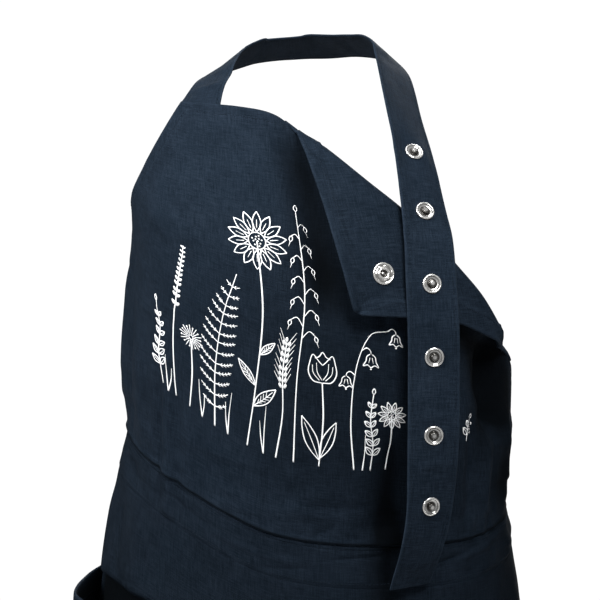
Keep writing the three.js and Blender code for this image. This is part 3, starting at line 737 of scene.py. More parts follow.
# pressed in at both edges, puffed between them, and pinched along the upper seam
def bandGrid():
    t = between(band["gap"] - band["height"], -band["gap"], np.linspace(0, 1, band["rows"]))[:, None]
    s = np.linspace(-band["half"], band["half"], band["columns"])[None]
    s, t = np.broadcast_arrays(s, t)
    relief = ridges(bandCreases, s, t) + rumple(s, t, 21, 110, (-300, 300), (-34, -2), 0.7, 0.35)
    upper = (t + band["gap"]) / 1.9
    lower = (t + band["height"] - band["gap"]) / 1.9
    pressed = -2.3 * bell(upper * 1.5, 1) - 0.45 * bell(lower, 1)
    puffed = 0.5 * np.sin(np.pi * np.clip(-t / band["height"], 0, 1)) - 0.45 * bell(t + band["seam"], 1)
    pinch = 0.25 * np.sin(s / 2.1) * bell(upper, 1.6)
    shape = smooth(-t / 6) * smooth((t + band["height"]) / 6)
    return drape(s, t, relief * shape + pressed + puffed + pinch), np.stack((s, t), -1)


points, uv = bandGrid()
s, t = uv[..., 0], uv[..., 1]
wear = 0.1 * bell(t + band["gap"], 1.5) + 0.15 * bell(t + band["height"], 1.5)
# painted shade: the spots over the waist and a dark line of painted shadow under the upper seam
bandPiece, *grids = clothPiece("waistbandCloth", points, band["wall"] / 2, band["wall"] / 2, uv, clothBand,
    wear, np.clip(lowShade(s, t) + 0.98 * bell(t + 0.6, 1.3), 0, 1))
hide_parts("waistband")
seams("bandStitching", grids, [int(np.argmin(np.abs(t[:, 0] - at)))
    for at in (-band["seam"], -band["height"] + band["lowSeam"])])


# flutes are a cosine across the cloth that grows towards the hem
def fluteHeight(s, t):
    full = flute["start"] + band["height"] + skirt["length"]
    wave = 0.5 - 0.5 * np.cos(2 * np.pi * s / flute["pitch"])
    return flute["depth"] * smooth((flute["start"] - t) / full) * wave


skirtFolds = (
    (-222, -90, 110, 9, 2.4, 2), (-196, -80, 90, 8, -2.0, 2), (-170, -86, 120, 9, 2.2, 4),
    (-120, -110, 160, 12, 1.6, 4), (60, -110, 170, 14, 1.6, -2), (130, -110, 150, 12, -1.6, -3),
    (190, -90, 120, 10, 2.2, 0), (225, -90, 120, 9, -2, 2), (-40, -260, 260, 18, 2.0, 3),
    (90, -300, 260, 18, -2.2, -4), (0, -160, 140, 12, -1.2, 0), (-250, -330, 240, 16, 2, 3),
    (250, -330, 240, 16, 2.4, -3), (160, -380, 180, 15, 1.6, 4), (-140, -400, 160, 14, -1.8, 2),
)


# 1 behind a pocket, 0 above its mouth and beside it
def behindPocket(s, t):
    u = (np.abs(s) / pocket["pitch"] - pocket["from"]) / (pocket["to"] - pocket["from"])
    mouth = pocket["top"] + 6 - pocket["slant"] * u
    bottom = pocket["top"] - pocket["rows"] * pocket["rowPitch"]
    return smooth((mouth - t) / 5) * smooth(u / 0.1) * smooth((1 - u) / 0.1) * smooth((t - bottom) / 20)


# flutes, folds and small creases, added up
def skirtRelief(s, t):
    return (fluteHeight(s, t) + ridges(skirtFolds, s, t)
        + rumple(s, t, 31, 110, (-320, 320), (-490, -45), 0.7) * smooth((-band["height"] - t) / 20))


# the skirt widens in proportion to the distance below the band
def skirtAcross(s, t):
    return s * (1 - skirt["flare"] * (t + band["height"]) / skirt["length"])


# even rows and columns between closer ones that follow the hems
def skirtGrid():
    bottom = -band["height"] - skirt["length"]
    hem = skirt["hem"]
    hemRows = bottom + np.array((0, 1, 3, 8, 13, hem - 1, hem, hem + 1, hem + 3))
    rest = np.linspace(bottom + hem + 6, -band["height"], skirt["rows"])
    t = np.concatenate((hemRows, rest))[:, None]
    length = 2 * band["half"]
    side = hemColumns / length
    middle = between(side[-1], 1 - side[-1], np.linspace(0, 1, skirt["columns"])[1:-1])
    u = np.concatenate((side, middle, 1 - side[::-1]))[None]
    column = between(-band["half"], band["half"], u)
    s = skirtAcross(column, t)
    relief = skirtRelief(s, t) - 0.3 * bell(t + band["height"], 2) - pocket["dent"] * behindPocket(s, t)
    s, t = np.broadcast_arrays(s, t)
    edge = np.minimum(u, 1 - u) * length + 0 * t
    return drape(s, t, relief), np.stack((s, t), -1), edge, t - bottom


points, uv, edge, up = skirtGrid()
s, t = uv[..., 0], uv[..., 1]
hemmed = np.maximum(smooth((skirt["sideHem"] + 0.6 - edge) / 1.0), smooth((skirt["hem"] + 0.5 - up) / 1.0))
wear = 0.8 * bell(np.minimum(edge, up), 1.6) + 0.3 * bell(up - skirt["hem"], 1.2)
# painted shade behind the pocket mouth and over the waist
skirtPiece, *grids = clothPiece("skirtCloth", points, skirt["wall"] / 2, skirt["wall"] / 2 + 0.9 * hemmed, uv,
    clothSkirt, wear, np.maximum(behindPocket(s, t), lowShade(s, t)))
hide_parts("skirt")
seams("skirtStitching", grids, [np.s_[5:, column] for column in stitchColumns] + [np.s_[5, 5:-5]])
print("waistband and skirt made")

# patch pockets

# distances of rows below the mouth, and of columns from the sides
mouthRows = np.array((18.8, 17.8, 16.8, 14, 10, 6, 3, 1, 0))
pocketColumns = np.array((0, 0.8, 1.8, 3, 4.5))

# a patch on the skirt whose middle stands open towards its mouth, which dips there and slants down outwards
def pocketGrid(side):
    deep = pocket["rows"] * pocket["rowPitch"]
    even = np.linspace(0, 1 - (pocket["hem"] + 4) / deep, pocket["up"])
    v = np.concatenate((even, 1 - mouthRows / deep))[:, None]
    edgeU = pocketColumns / ((pocket["to"] - pocket["from"]) * pocket["pitch"])
    u = np.concatenate((edgeU, np.linspace(0.04, 0.96, pocket["across"]), 1 - edgeU[::-1]))
    u = (u if side > 0 else u[::-1])[None]
    middle = np.sin(np.pi * np.clip(u, 0, 1)) ** 0.8
    t = pocket["top"] - (1 - v) * deep - pocket["slant"] * u * v
    down = t - pocket["dip"] * middle * smooth(v) ** 2
    column = side * between(pocket["from"], pocket["to"], u) * pocket["pitch"]
    s = skirtAcross(column, down)
    opened = pocket["bulge"] * np.sin(np.pi * v) + pocket["gape"] * smooth((v - 0.35) / 0.65)
    sewn = skirt["wall"] / 2 + pocket["gap"] + pocket["wall"] / 2
    sag = rumple(s, down, 41 if side < 0 else 42, 46, (side * 195 - 75, side * 195 + 75), (-300, -110), 0.8)
    relief = skirtRelief(s, down) + sewn + opened * middle + (sag + 0.6) * smooth(middle * 2.2)
    s2, t2, v2 = np.broadcast_arrays(s, t, v)
    return drape(s, down, relief), np.stack((s2, t2), -1), (1 - v2) * deep


for side, label in ((-1, "left"), (1, "right")):
    points, uv, below = pocketGrid(side)
    hemmed = smooth((pocket["hem"] + 0.4 - below) / 1.0)
    wear = 0.9 * bell(below, 1.6) + 0.3 * bell(below - pocket["hem"], 1.2)
    wear[:, :3] += 0.5
    wear[:, -3:] += 0.5
    # painted shade on the back of the pocket, growing from its mouth downwards
    made, front, back, normals = clothPiece(label + "PocketCloth", points, pocket["wall"] / 2,
        pocket["wall"] / 2 + 0.9 * hemmed, uv, clothSkirt, wear, 0, smooth(below / 9))
    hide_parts("pocket_" + label)
    mouth = np.s_[-8, 2:-2]
    runs = [(front[line], normals[line]) for line in (np.s_[2:, 2], np.s_[2:, -3], np.s_[2, 2:-2], mouth)]
    stitches(label + "PocketStitching", runs + [(back[mouth], -normals[mouth])])
print("pockets made")

# neck strap

strap = {"wall": 2.0, "gap": 0.4, "startS": -110, "startT": 324, "startH": -6.4, "turn": 0.16,
    "rows": 420, "top": 350}
strapRoute = np.array((
    (-93.5, -81.7, -38.5, -0.77, 0.60, -0.24),
    (-87.0, -68.9, -29.0, -0.78, 0.53, -0.34),
    (-81.9, -54.2, -21.4, -0.76, 0.50, -0.42),
    (-75.0, -39.4, -15.8, -0.67, 0.54, -0.52),
    (-66.2, -25.2, -11.7, -0.54, 0.61, -0.57),
    (-54.2, -13.7, -7.8, -0.40, 0.71, -0.57),
    (-40.4, -4.0, -4.6, -0.10, 0.87, -0.48),
    (-2.3, 0, -0.8, 0, 0.88, -0.47),
    (27.3, -16.8, -0.2, 0.46, 0.77, -0.44),
    (42.6, -28.1, -0.5, 0.57, 0.67, -0.47),
    (53.4, -40.0, -1.9, 0.62, 0.58, -0.53),
    (60.5, -53.2, -7.0, 0.67, 0.51, -0.54),
    (63.4, -68.2, -16.1, 0.76, 0.43, -0.48),
    (65.0, -87.9, -31.1, 0.79, 0.43, -0.44),
    (67.3, -113.5, -53.0, 0.80, 0.45, -0.40),
    (70.9, -146.5, -85.7, 0.85, 0.43, -0.31),
    (73.3, -165.1, -108.2, 0.89, 0.40, -0.22),
    (75.1, -180.5, -130.7, 0.93, 0.34, -0.14),
    (76.9, -193.6, -153.3, 0.97, 0.23, -0.02),
    (77.6, -205, -185.4, 0.99, 0.14, 0),
    (78.6, -209, -214, 1, 0.06, 0),
    (79.3, -209.5, -242.3, 1, 0.05, 0),
    (79.3, -209, -304.1, 1, 0.05, 0),
    (77.5, -205, -361.3, 0.93, 0.34, -0.06),
    (71.4, -201, -397.8, 0.87, 0.46, -0.10),
    (64.2, -188, -429.5, 0.84, 0.50, 0.01)))
studRows = (15, 17, 19, 21, 22, 23)
sewnRows = 2


# the sewn end behind the bib, then the free route
def strapTable():
    knots = []
    for t in (strap["startT"], strap["top"]):
        wide = unit(drape(strap["startS"] - 10, t) - drape(strap["startS"] + 10, t))
        wide = unit(wide + np.array((0, strap["turn"], 0)))
        knots.append(np.concatenate((drape(strap["startS"], t, strap["startH"]), wide)))
    free = strapRoute.copy()
    free[:, 3:] = unit(free[:, 3:])
    rows = np.concatenate((np.array(knots), free))
    return routeTable(rows)


# a route's table by its length
def routeTable(rows):
    names = ("x", "y", "z", "wx", "wy", "wz")
    return {"at": runAlong(rows[:, :3]), **{name: rows[:, k].astype(float) for k, name in enumerate(names)}}


# centre, width, length and normal of a route; the width is made square to the length
def routeAt(route, at):
    centre, ahead, behind = (np.stack([follow(route, name, at + step) for name in "xyz"], -1)
        for step in (0, 1, -1))
    along = unit(ahead - behind)
    wide = np.stack([follow(route, name, at) for name in ("wx", "wy", "wz")], -1)
    wide = unit(wide - along * np.sum(wide * along, -1, keepdims=True))
    return centre, wide, along, unit(np.cross(wide, along))


# how far the strap is turned to the front about its length at each stud
studTurn = (-0.36, -0.14, 0, 0, 0, 0)
strapPath = strapTable()
strapLength = strapPath["at"][-1]
studAt = strapPath["at"][np.array(studRows) + sewnRows]

# places across the strap, with more of them at its folded edges
strapHalf, strapSeam = 20, 17.2
strapColumns = np.array((-20, -19.7, -19, -18, -17.2, -16, -13, -9.5, -6, -2,
    2, 6, 9.5, 13, 16, 17.2, 18, 19, 19.7, 20.0))
strapCreases = (
    (0, 52, 34, 3, -1.0, 84), (4, 96, 40, 5, 1.0, 80), (0, 228, 42, 5, -1.3, 86), (0, 262, 40, 5, 0.8, 97),
    (6, 470, 30, 4, 0.5, 88), (-4, 540, 34, 4, -0.6, 92), (0, 610, 38, 4, 0.8, 86),
    (2, 655, 36, 4, -0.9, 95), (0, 700, 40, 4, 0.9, 88), (-3, 738, 40, 5, -0.8, 82),
)


# points of a ribbon: its centre, moved along its width and its normal
def ribbonGrid(centre, wide, normal, across, relief):
    return centre[:, None] + wide[:, None] * across[None, :, None] + normal[:, None] * relief[..., None]


at = np.linspace(0, strapLength, strap["rows"])
centre, wide, along, normal = routeAt(strapPath, at)
w, l = np.meshgrid(strapColumns, at)
studNear = bell(w, 9, 4) * sum(bell(l - stop, 9, 4) for stop in studAt)
relief = (ridges(strapCreases, w, l) + 0.35 * np.sin(l / 13) * (w / 20) ** 2
    + rumple(w, l, 51, 70, (-20, 20), (0, strapLength), 0.35, 0.3))
relief = relief * (1 - np.clip(studNear, 0, 1)) * smooth((l - 20) / 30)
for stop, turn in zip(studAt, studTurn):
    relief += turn * w * np.exp(-((w / 13) ** 4) - (((l - stop) / 17) ** 2))
beside = np.abs(w)
pucker = 0.12 * np.sin(l / 1.05) * bell(beside - strapSeam, 1.4)
thin = 0.3 * bell(beside - strapSeam, 0.9)
wallHalf = strap["wall"] / 2 - thin * 0.6 + pucker - 0.25 * smooth((beside - 18.6) / 1.4)
wear = 0.85 * bell(strapHalf - beside, 1.2) + 0.8 * bell(l - strapLength, 1.2)
points = ribbonGrid(centre, wide, normal, strapColumns, relief)
strapPiece, *grids = clothPiece("neckStrapCloth", points, wallHalf, wallHalf, np.stack((w + 600, l), -1),
    clothStrap, wear)
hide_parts("neck_strap")
strapLength * metre
endRow = int(np.argmin(np.abs(at - (strapLength - 6))))
seams("strapStitching", grids, [np.s_[2:-2, column] for column in (4, -5)] + [np.s_[endRow, 4:-4]])
print("neck strap made, %.0f mm long" % strapLength)

# snaps

snap = {"flange": 7.6, "post": 1.8, "nub": 2.9, "nubHeight": 3.4, "back": 6.2, "plate": 0.7, "sides": 56,
    "ring": 8.8, "mouth": 2.9, "ringHeight": 2.4, "cap": 7.4, "petals": 6}


# profile of radius and height turned about the normal; dent(angle, radius, height) adds to the height
def turnedPiece(name, node, profile, shades, centre, normal, dent=None):
    profile = np.array(profile, float)
    angle = np.linspace(0, 2 * np.pi, snap["sides"], endpoint=False)
    radius, height = profile[1:-1, 0], profile[1:-1, 1]
    high = height[:, None] + (dent(angle[None], radius[:, None], height[:, None]) if dent else 0)
    side = unit(np.cross(normal, (0, 0, 1.0)))
    up = np.cross(normal, side)
    ring = (centre + normal * high[..., None]
        + radius[:, None, None] * (side * np.cos(angle)[None, :, None] + up * np.sin(angle)[None, :, None]))
    corners = np.concatenate((ring.reshape(-1, 3), [centre + normal * profile[end, 1] for end in (0, -1)]))
    # painted shade and dark reflection from the profile's table, and a fixed amount of painted shade on the
    # back
    shade = np.where(height > 0, np.interp(radius, *zip(*shades)), backShade)
    shade = np.concatenate((np.repeat(shade, snap["sides"]), (backShade, shades[0][1])))
    piece = makeMesh(name, corners, closedFaces(len(radius), snap["sides"]), metalMaterial, None,
        {"shade": shade})
    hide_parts(node)


# points of a profile on a part of a circle, from one angle in degrees to another
def arc(centreR, centreZ, radius, start, end, steps):
    a = np.radians(np.linspace(start, end, steps))
    return list(zip(centreR + radius * np.cos(a), centreZ + radius * np.sin(a)))


# painted shade and painted dark reflection on the metal at each radius, where a dish and a mouth would mirror
# their own walls
backShade = 0.3
studShades = (
    (0, 0.15), (1.2, 0.3), (2.0, 0.88), (3.0, 0.97), (3.9, 0.95), (4.3, 0.35), (5.2, 0.06), (5.6, 0.5),
    (5.9, 0.5), (6.2, 0.05), (8, 0),
)
socketShades = (
    (0, 0.6), (1.0, 0.55), (1.5, 0.97), (2.7, 0.95), (3.05, 0.35), (3.4, 0.03), (4.6, 0.08), (5.0, 0.7),
    (5.6, 0.5), (6.6, 0.35), (7.1, 0.6), (7.6, 0.05), (9, 0),
)


# ring with a round rim, a dish inside it, and a nub with a round head and a flat top
def studProfile():
    face = strap["wall"] / 2 + strap["gap"] - 0.25
    low = -face - snap["plate"]
    flange, nub, post = snap["flange"], snap["nub"], snap["post"]
    top = face + snap["nubHeight"]
    rows = [(0, low), (0.6, low)]
    rows += arc(snap["back"] - 0.35, low + 0.35, 0.35, -90, 90, 6)
    rows += [(post + 0.3, -face), (post, -face + 0.2), (post, face - 0.1), (post + 0.2, face)]
    rows += arc(flange - 0.85, face + 0.85, 0.85, -90, 165, 16)
    rows += [(flange - 1.85, face + 0.78), (flange - 2.3, face + 0.5), (flange - 3.0, face + 0.36),
        (nub + 0.9, face + 0.34)]
    rows += arc(nub + 0.45, face + 0.85, 0.5, -80, -180, 6)
    rows += arc(nub - 0.95, face + 2.0, 0.95, -35, 0, 5)
    rows += arc(nub - 1.15, top - 1.15, 1.15, 0, 78, 9)
    rows += [(1.1, top - 0.02), (0.7, top), (0, top)]
    return rows


# flat ring with a round rim, a raised collar round its mouth, and the spring's floor inside
def socketProfile():
    face = bib["wall"] / 2 + 0.4
    ring, mouth = snap["ring"], snap["mouth"]
    rows = [(0, -face - 1.4), (2.0, -face - 1.4)]
    rows += arc(snap["cap"] - 0.6, -face - 0.65, 0.6, -80, 80, 8)
    rows += [(2.2, -face), (2.0, -face + 0.2), (2.0, face - 0.2), (2.3, face)]
    rows += arc(ring - 0.7, face + 0.7, 0.7, -90, 150, 14)
    rows += [(ring - 1.5, face + 0.75), (ring - 2.0, face + 0.7), (mouth + 2.7, face + 0.95)]
    rows += arc(mouth + 1.05, face + snap["ringHeight"] - 1.0, 1.0, 30, 180, 14)
    rows += [(mouth - 0.1, face + 0.8), (mouth - 0.3, face + 0.45), (1.5, face + 0.4), (1.1, face + 0.65),
        (0, face + 0.7)]
    return rows


# the socket's ring is pressed into petals between its rim and its mouth
def petals(angle, radius, height):
    ring = smooth((radius - snap["mouth"] - 0.9) / 1.2) * smooth((snap["ring"] - 1.0 - radius) / 0.6)
    return np.where(height > 0, ring * 0.2 * np.cos(snap["petals"] * angle), 0)


for k, stop in enumerate(studAt):
    centre, wide, along, normal = routeAt(strapPath, np.array(stop))
    out = -normal if normal[1] > 0 else normal
    out = unit(out + np.sign(np.dot(out, normal)) * -studTurn[k] * wide)
    turnedPiece("snapStud%d" % (k + 1), "stud_%d" % (k + 1), studProfile(), studShades, centre, out)


# point of the folded corner, on the middle of its cloth
def flapPoint(u, v):
    u, v = np.array(u), np.array(v)
    s, t = flapPlace(u, v)
    return drape(s, t, 2 * bib["radius"] + flapLift(flapReach(u, s, t)))


socketU, socketV = 0.46, 0.66
centre = flapPoint(socketU, socketV)
across = flapPoint(socketU + 0.04, socketV) - flapPoint(socketU - 0.04, socketV)
down = flapPoint(socketU, socketV + 0.04) - flapPoint(socketU, socketV - 0.04)
normal = unit(np.cross(down, across))
out = -normal if normal[1] > 0 else normal
turnedPiece("snapSocket", "corner_socket", socketProfile(), socketShades, centre, out, petals)
print("snaps made")

# waist tie round the back

tie = {"width": 26, "tailWidth": 22, "wall": 1.6, "centre": np.array((0.0, 30.0, -352.0)), "tail": 185,
    "knotSize": np.array((34.0, 15.0, 27.0)), "rows": 120}
tieColumns = np.array((-1, -0.97, -0.9, -0.8, -0.55, -0.25, 0.05, 0.35, 0.62, 0.82, 0.91, 0.97, 1.0))


# a hemmed ribbon along a route, with small creases
def tiePiece(name, rows, width, seed):
    route = routeTable(np.array(rows, float))
    at = np.linspace(0, route["at"][-1], tie["rows"])
    centre, wide, normal = (routeAt(route, at)[k] for k in (0, 1, 3))
    across = tieColumns * width / 2
    w, l = np.meshgrid(across, at)
    relief = rumple(w, l, seed, 30, (-12, 12), (0, at[-1]), 0.6, 0.25) + 0.8 * np.sin(l / 21) * w / 13
    relief = relief * smooth(l / 12)
    wallHalf = tie["wall"] / 2 - 0.15 * bell(np.abs(w) - width * 0.42, 0.8)
    uv = np.stack((w + 800 + 40 * seed, l), -1)
    wear = 0.8 * bell(width / 2 - np.abs(w), 1.1)
    points = ribbonGrid(centre, wide, normal, across, relief)
    made, *grids = clothPiece(name, points, wallHalf, wallHalf, uv, clothStrap, wear)
    seams(name + "Stitching", grids, [np.s_[1:-1, column] for column in (3, -4)])


for side, label in ((-1, "left"), (1, "right")):
    level = -band["height"] / 2
    upright = unit(drape(side * band["half"], level + 5) - drape(side * band["half"], level - 5))
    start = drape(side * (band["half"] + 0.9), level)
    second = drape(side * (band["half"] + 14), level)
    half = np.array((side * 62, tie["centre"][1] - 4, between(start[2], tie["centre"][2], 0.55)))
    rows = [(*start, *upright), (*second, *upright), (*half, 0, 0, 1), (*tie["centre"], 0, 0, 1)]
    tiePiece(label + "TieCloth", rows, tie["width"], 61 + side)
    tail = ((2, 0, 2, 1, 0.1, 0), (6, 3, -30, 1, 0.15, 0.1), (12, 4, -80, 1, -0.1, 0.12),
        (16, 0, -135, 1, -0.2, 0.12),
        (20, -2, -tie["tail"], 1, -0.1, 0.12))
    rows = [(*(tie["centre"] + np.array((side * x, y + side * 1.2, z + side * 6))), a, b, side * c)
        for x, y, z, a, b, c in tail]
    tiePiece(label + "TailCloth", rows, tie["tailWidth"], 71 + side)


# the knot is a flattened ball whose radius falls into grooves where the wraps of cloth lie against each other
def knotGrid(rows=72, columns=96):
    up = np.linspace(-np.pi / 2 + 0.03, np.pi / 2 - 0.03, rows)[:, None]
    turn = np.linspace(0, 2 * np.pi, columns, endpoint=False)[None]
    wrap = np.sin(2 * up + 1.1 * np.sin(turn + 0.4)) * 0.5 + 0.5
    groove = bell(wrap - 0.5, 0.16) * 0.10 + 0.04 * bell(np.sin(turn + up * 2), 0.2)
    crease = 0.025 * np.sin(7 * turn + 3 * up) + 0.02 * np.sin(11 * up - 2 * turn)
    size = 0.5 * (1.06 - groove + crease)
    flat = np.sign(np.cos(up)) * np.abs(np.cos(up)) ** 0.8
    x, y = flat * np.cos(turn), flat * np.sin(turn)
    z = np.sign(np.sin(up)) * np.abs(np.sin(up)) ** 0.85 + 0 * turn
    return tie["centre"] + np.stack((x, y, z), -1) * size[..., None] * tie["knotSize"]


grid = knotGrid()
n, m = grid.shape[:2]
corners = np.concatenate((grid.reshape(-1, 3), grid[0].mean(0)[None], grid[-1].mean(0)[None]))
knotUv = np.stack(np.meshgrid(np.linspace(0, 90, m), np.linspace(0, 40, n)), -1).reshape(-1, 2)
knotUv = np.concatenate((knotUv, np.zeros((2, 2)))) + 1500
knotPiece = makeMesh("tieKnotCloth", corners, closedFaces(n, m), clothStrap, knotUv,
    {"wear": np.full(len(corners), 0.15)})
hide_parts("waist_tie")
print("waist tie made")

# printed meadow: strokes drawn on the cloth in s and t, as low closed ribbons

ink = {"stem": 1.05, "line": 0.82, "fine": 0.66, "height": 0.22, "under": 0.3, "sides": 12}
goldenTurn = 2.39996
strokes, dots = [], []


# even steps along a cubic through the points, or along the line between two
def curve(points, step):
    points = np.array(points, float)
    run = runAlong(points)
    at = np.linspace(0, run[-1], max(int(run[-1] / step), 3) + 1)
    if len(points) < 3:
        return np.stack([np.interp(at, run, points[:, k]) for k in range(2)], -1)
    rows = {"at": run, "s": points[:, 0], "t": points[:, 1]}
    return np.stack([follow(rows, name, at) for name in "st"], -1)


# width swells and thins a little along a stroke, as a pen's does
def stroke(points, width, taper=0.0, step=1.6):
    path = curve(points, step)
    f = np.linspace(0, 1, len(path))
    strokes.append((path, width * (1 - taper * f) * (1 + 0.12 * np.sin(f * 7 + path[0, 0]))))
    return path


# filled oval, as tall as the number says against its width
def dot(place, radius, tall=1.0, turn=0.0):
    dots.append((*place, radius, tall, np.radians(turn)))


# points drawn upright round (0, 0), made larger, turned clockwise by an angle and moved to a place
def turnedBy(points, angle, at, size=1.0):
    a = np.radians(angle)
    points = size * np.array(points, float)
    return np.stack((points[:, 0] * np.cos(a) + points[:, 1] * np.sin(a),
        -points[:, 0] * np.sin(a) + points[:, 1] * np.cos(a)), -1) + np.array(at)


# points round a circle, clockwise from its top
def circle(centre, radius, steps):
    ring = np.radians(np.linspace(0, 360, steps))
    return np.stack((centre[0] + radius * np.sin(ring), centre[1] + radius * np.cos(ring)), -1)


# point at a share of a path's length, and the direction of the path there
def place(path, share):
    at = int(round(share * (len(path) - 1)))
    before, after = path[max(at - 1, 0)], path[min(at + 1, len(path) - 1)]
    return path[at], np.degrees(np.arctan2(after[0] - before[0], after[1] - before[1]))


# almond outline with a midrib and slanting veins
def leaf(at, angle, length, wide, veins=0, width=None):
    width = width or ink["line"]
    half = ((0, 0), (wide * 0.75, length * 0.26), (wide, length * 0.5), (wide * 0.62, length * 0.78),
        (0, length))
    for side in (-1, 1):
        stroke(turnedBy([(side * x, y) for x, y in half], angle, at), width, step=1.2)
    if veins:
        stroke(turnedBy(((0, 0), (0.3, length * 0.45), (0, length * 0.86)), angle, at), ink["fine"], 0.3, 1.4)
    for k in range(veins if veins > 1 else 0):
        up = length * (0.2 + 0.5 * k / veins)
        reach = wide * 0.7 * np.sin(np.pi * (0.2 + 0.6 * k / veins))
        for side in (-1, 1):
            vein = turnedBy(((0, up), (side * reach, up + length * 0.13)), angle, at)
            stroke(vein, ink["fine"] * 0.85, 0.3, 1.4)


# pairs of open leaves up a stem, smaller towards its tip
def leafySprig(points, pairs, length, wide, start=0.2, veins=1, lean=48):
    path = stroke(points, ink["stem"], 0.35)
    for k in range(pairs):
        share = start + (0.94 - start) * k / pairs
        root, angle = place(path, share)
        size = 1 - 0.5 * k / pairs
        for side in (-1, 1):
            leaf(root, angle + side * lean * (1 - 0.25 * k / pairs), length * size, wide * size, veins)
    root, angle = place(path, 1.0)
    leaf(root, angle, length * 0.55, wide * 0.55)


# whorls of small filled florets that grow closer towards the tip
def lavender(points, whorls=10, size=2.1, start=0.5):
    path = stroke(points, ink["stem"], 0.2)
    for k in range(whorls):
        root, angle = place(path, start + (1 - start) * (k / (whorls - 1)) ** 0.85)
        grown = size * (1 - 0.45 * k / whorls)
        for side in (-1, 1):
            at = turnedBy(((side * grown * 0.95, grown * 0.5),), angle, root)[0]
            dot(at, grown * 0.52, 1.75, angle + side * 34)
        dot(turnedBy(((0, grown * 0.9),), angle, root)[0], grown * 0.42, 1.9, angle)


# fronds bend upwards from the midrib, each with a row of short strokes for its leaflets
def fern(points, pairs=13, size=16, start=0.12):
    path = stroke(points, ink["stem"], 0.5)
    for k in range(pairs):
        share = start + (0.97 - start) * k / pairs
        root, angle = place(path, share)
        length = size * np.sin(np.pi * (0.22 + 0.74 * k / pairs)) ** 0.9 + 1.5
        for side in (-1, 1):
            frond = ((0, 0), (side * length * 0.55, length * 0.2), (side * length, length * 0.52))
            rib = stroke(turnedBy(frond, angle, root), ink["line"], 0.4, 1.4)
            leaflets = int(length / 3.1)
            for j in range(leaflets):
                foot, way = place(rib, 0.25 + 0.7 * j / leaflets)
                for turn in (-42, 42):
                    stroke(turnedBy(((0, 0), (0, 2.3 - 0.22 * j)), way + turn, foot), ink["fine"], 0.4, 1.2)


# two rings of petals round a disc of seeds
def daisy(points, radius, petalsCount=13, turn=0.0, seeds=12):
    path = stroke(points, ink["stem"])
    centre = path[-1]
    for k in range(petalsCount):
        angle = turn + 360.0 * k / petalsCount
        leaf(turnedBy(((0, radius * 0.31),), angle, centre)[0], angle, radius * 0.69, radius * 0.145)
        root = turnedBy(((0, radius * 0.45),), angle, centre)[0]
        stroke(turnedBy(((0, 0), (0, radius * 0.28)), angle, root), ink["fine"] * 0.9, 0.4, 1.2)
    stroke(circle(centre, radius * 0.29, 25), ink["line"], step=1)
    for k in range(seeds):
        a, reach = k * goldenTurn, radius * 0.2 * np.sqrt((k + 0.3) / seeds)
        dot((centre[0] + reach * np.cos(a), centre[1] + reach * np.sin(a)), max(radius * 0.028, 0.5))
    return path


# bells hang from hooked stalks along one side of an arching stem
def bellFlower(points, bells):
    path = stroke(points, ink["stem"], 0.4)
    cup = ((-0.1, 0), (-0.38, -0.22), (-0.46, -0.62), (-0.7, -1.1), (-0.32, -0.97), (0, -1.18),
        (0.32, -0.97), (0.7, -1.1), (0.46, -0.62), (0.38, -0.22), (0.1, 0))
    for share, side, size in bells:
        root = place(path, share)[0]
        hook = ((0, 0), (side * size * 0.45, size * 0.32), (side * size * 0.8, size * 0.12),
            (side * size * 0.86, -size * 0.2))
        top = stroke(root + np.array(hook), ink["line"], 0.2, 1.2)[-1]
        stroke(turnedBy(cup, 0, top, size), ink["line"], step=1)
        for x in (-0.16, 0.16):
            line = ((x * 0.6, -0.3), (x * 1.3, -0.8))
            stroke(turnedBy(line, 0, top, size), ink["fine"] * 0.85, 0.3, 1.2)
        dot(top + (0, -size * 1.32), 0.75)


# a nodding grain at the end of each hair-thin arm
def oatGrass(points, grains=11, size=12, start=0.5):
    path = stroke(points, ink["stem"], 0.4)
    for k in range(grains):
        root, angle = place(path, start + (0.98 - start) * k / grains)
        side = -1 if k % 2 else 1
        reach = size * (1.1 - 0.6 * k / grains)
        arm = ((0, 0), (side * reach * 0.5, reach * 0.62), (side * reach * 0.95, reach * 0.34))
        tip = stroke(turnedBy(arm, angle * 0.6, root), ink["fine"], 0.1, 1.4)[-1]
        leaf(tip, 180 - side * 16, 5.2, 1.35, 0, ink["fine"])
        stroke((tip + (side * 1.2, -4.6), tip + (side * 2.6, -8.6)), ink["fine"] * 0.8, 0.5)
    root, angle = place(path, 1.0)
    leaf(root, angle, 5.5, 1.4, 0, ink["fine"])


# filled grains in two rows with a long hair on each
def wheat(points, grains=9, size=3.6, start=0.62):
    path = stroke(points, ink["stem"], 0.2)
    for k in range(grains):
        root, angle = place(path, start + (0.98 - start) * k / (grains - 1))
        for side in (-1, 1):
            at = turnedBy(((side * size * 0.55, size * 0.35),), angle, root)[0]
            dot(at, size * 0.31, 1.9, angle + side * 24)
            hair = turnedBy(((0, size * 0.5), (side * size * 1.3, size * 3.1)), angle, at)
            stroke(hair, ink["fine"] * 0.75, 0.5)
    root, angle = place(path, 1.0)
    dot(root + (0, size * 0.7), size * 0.31, 2.0, angle)


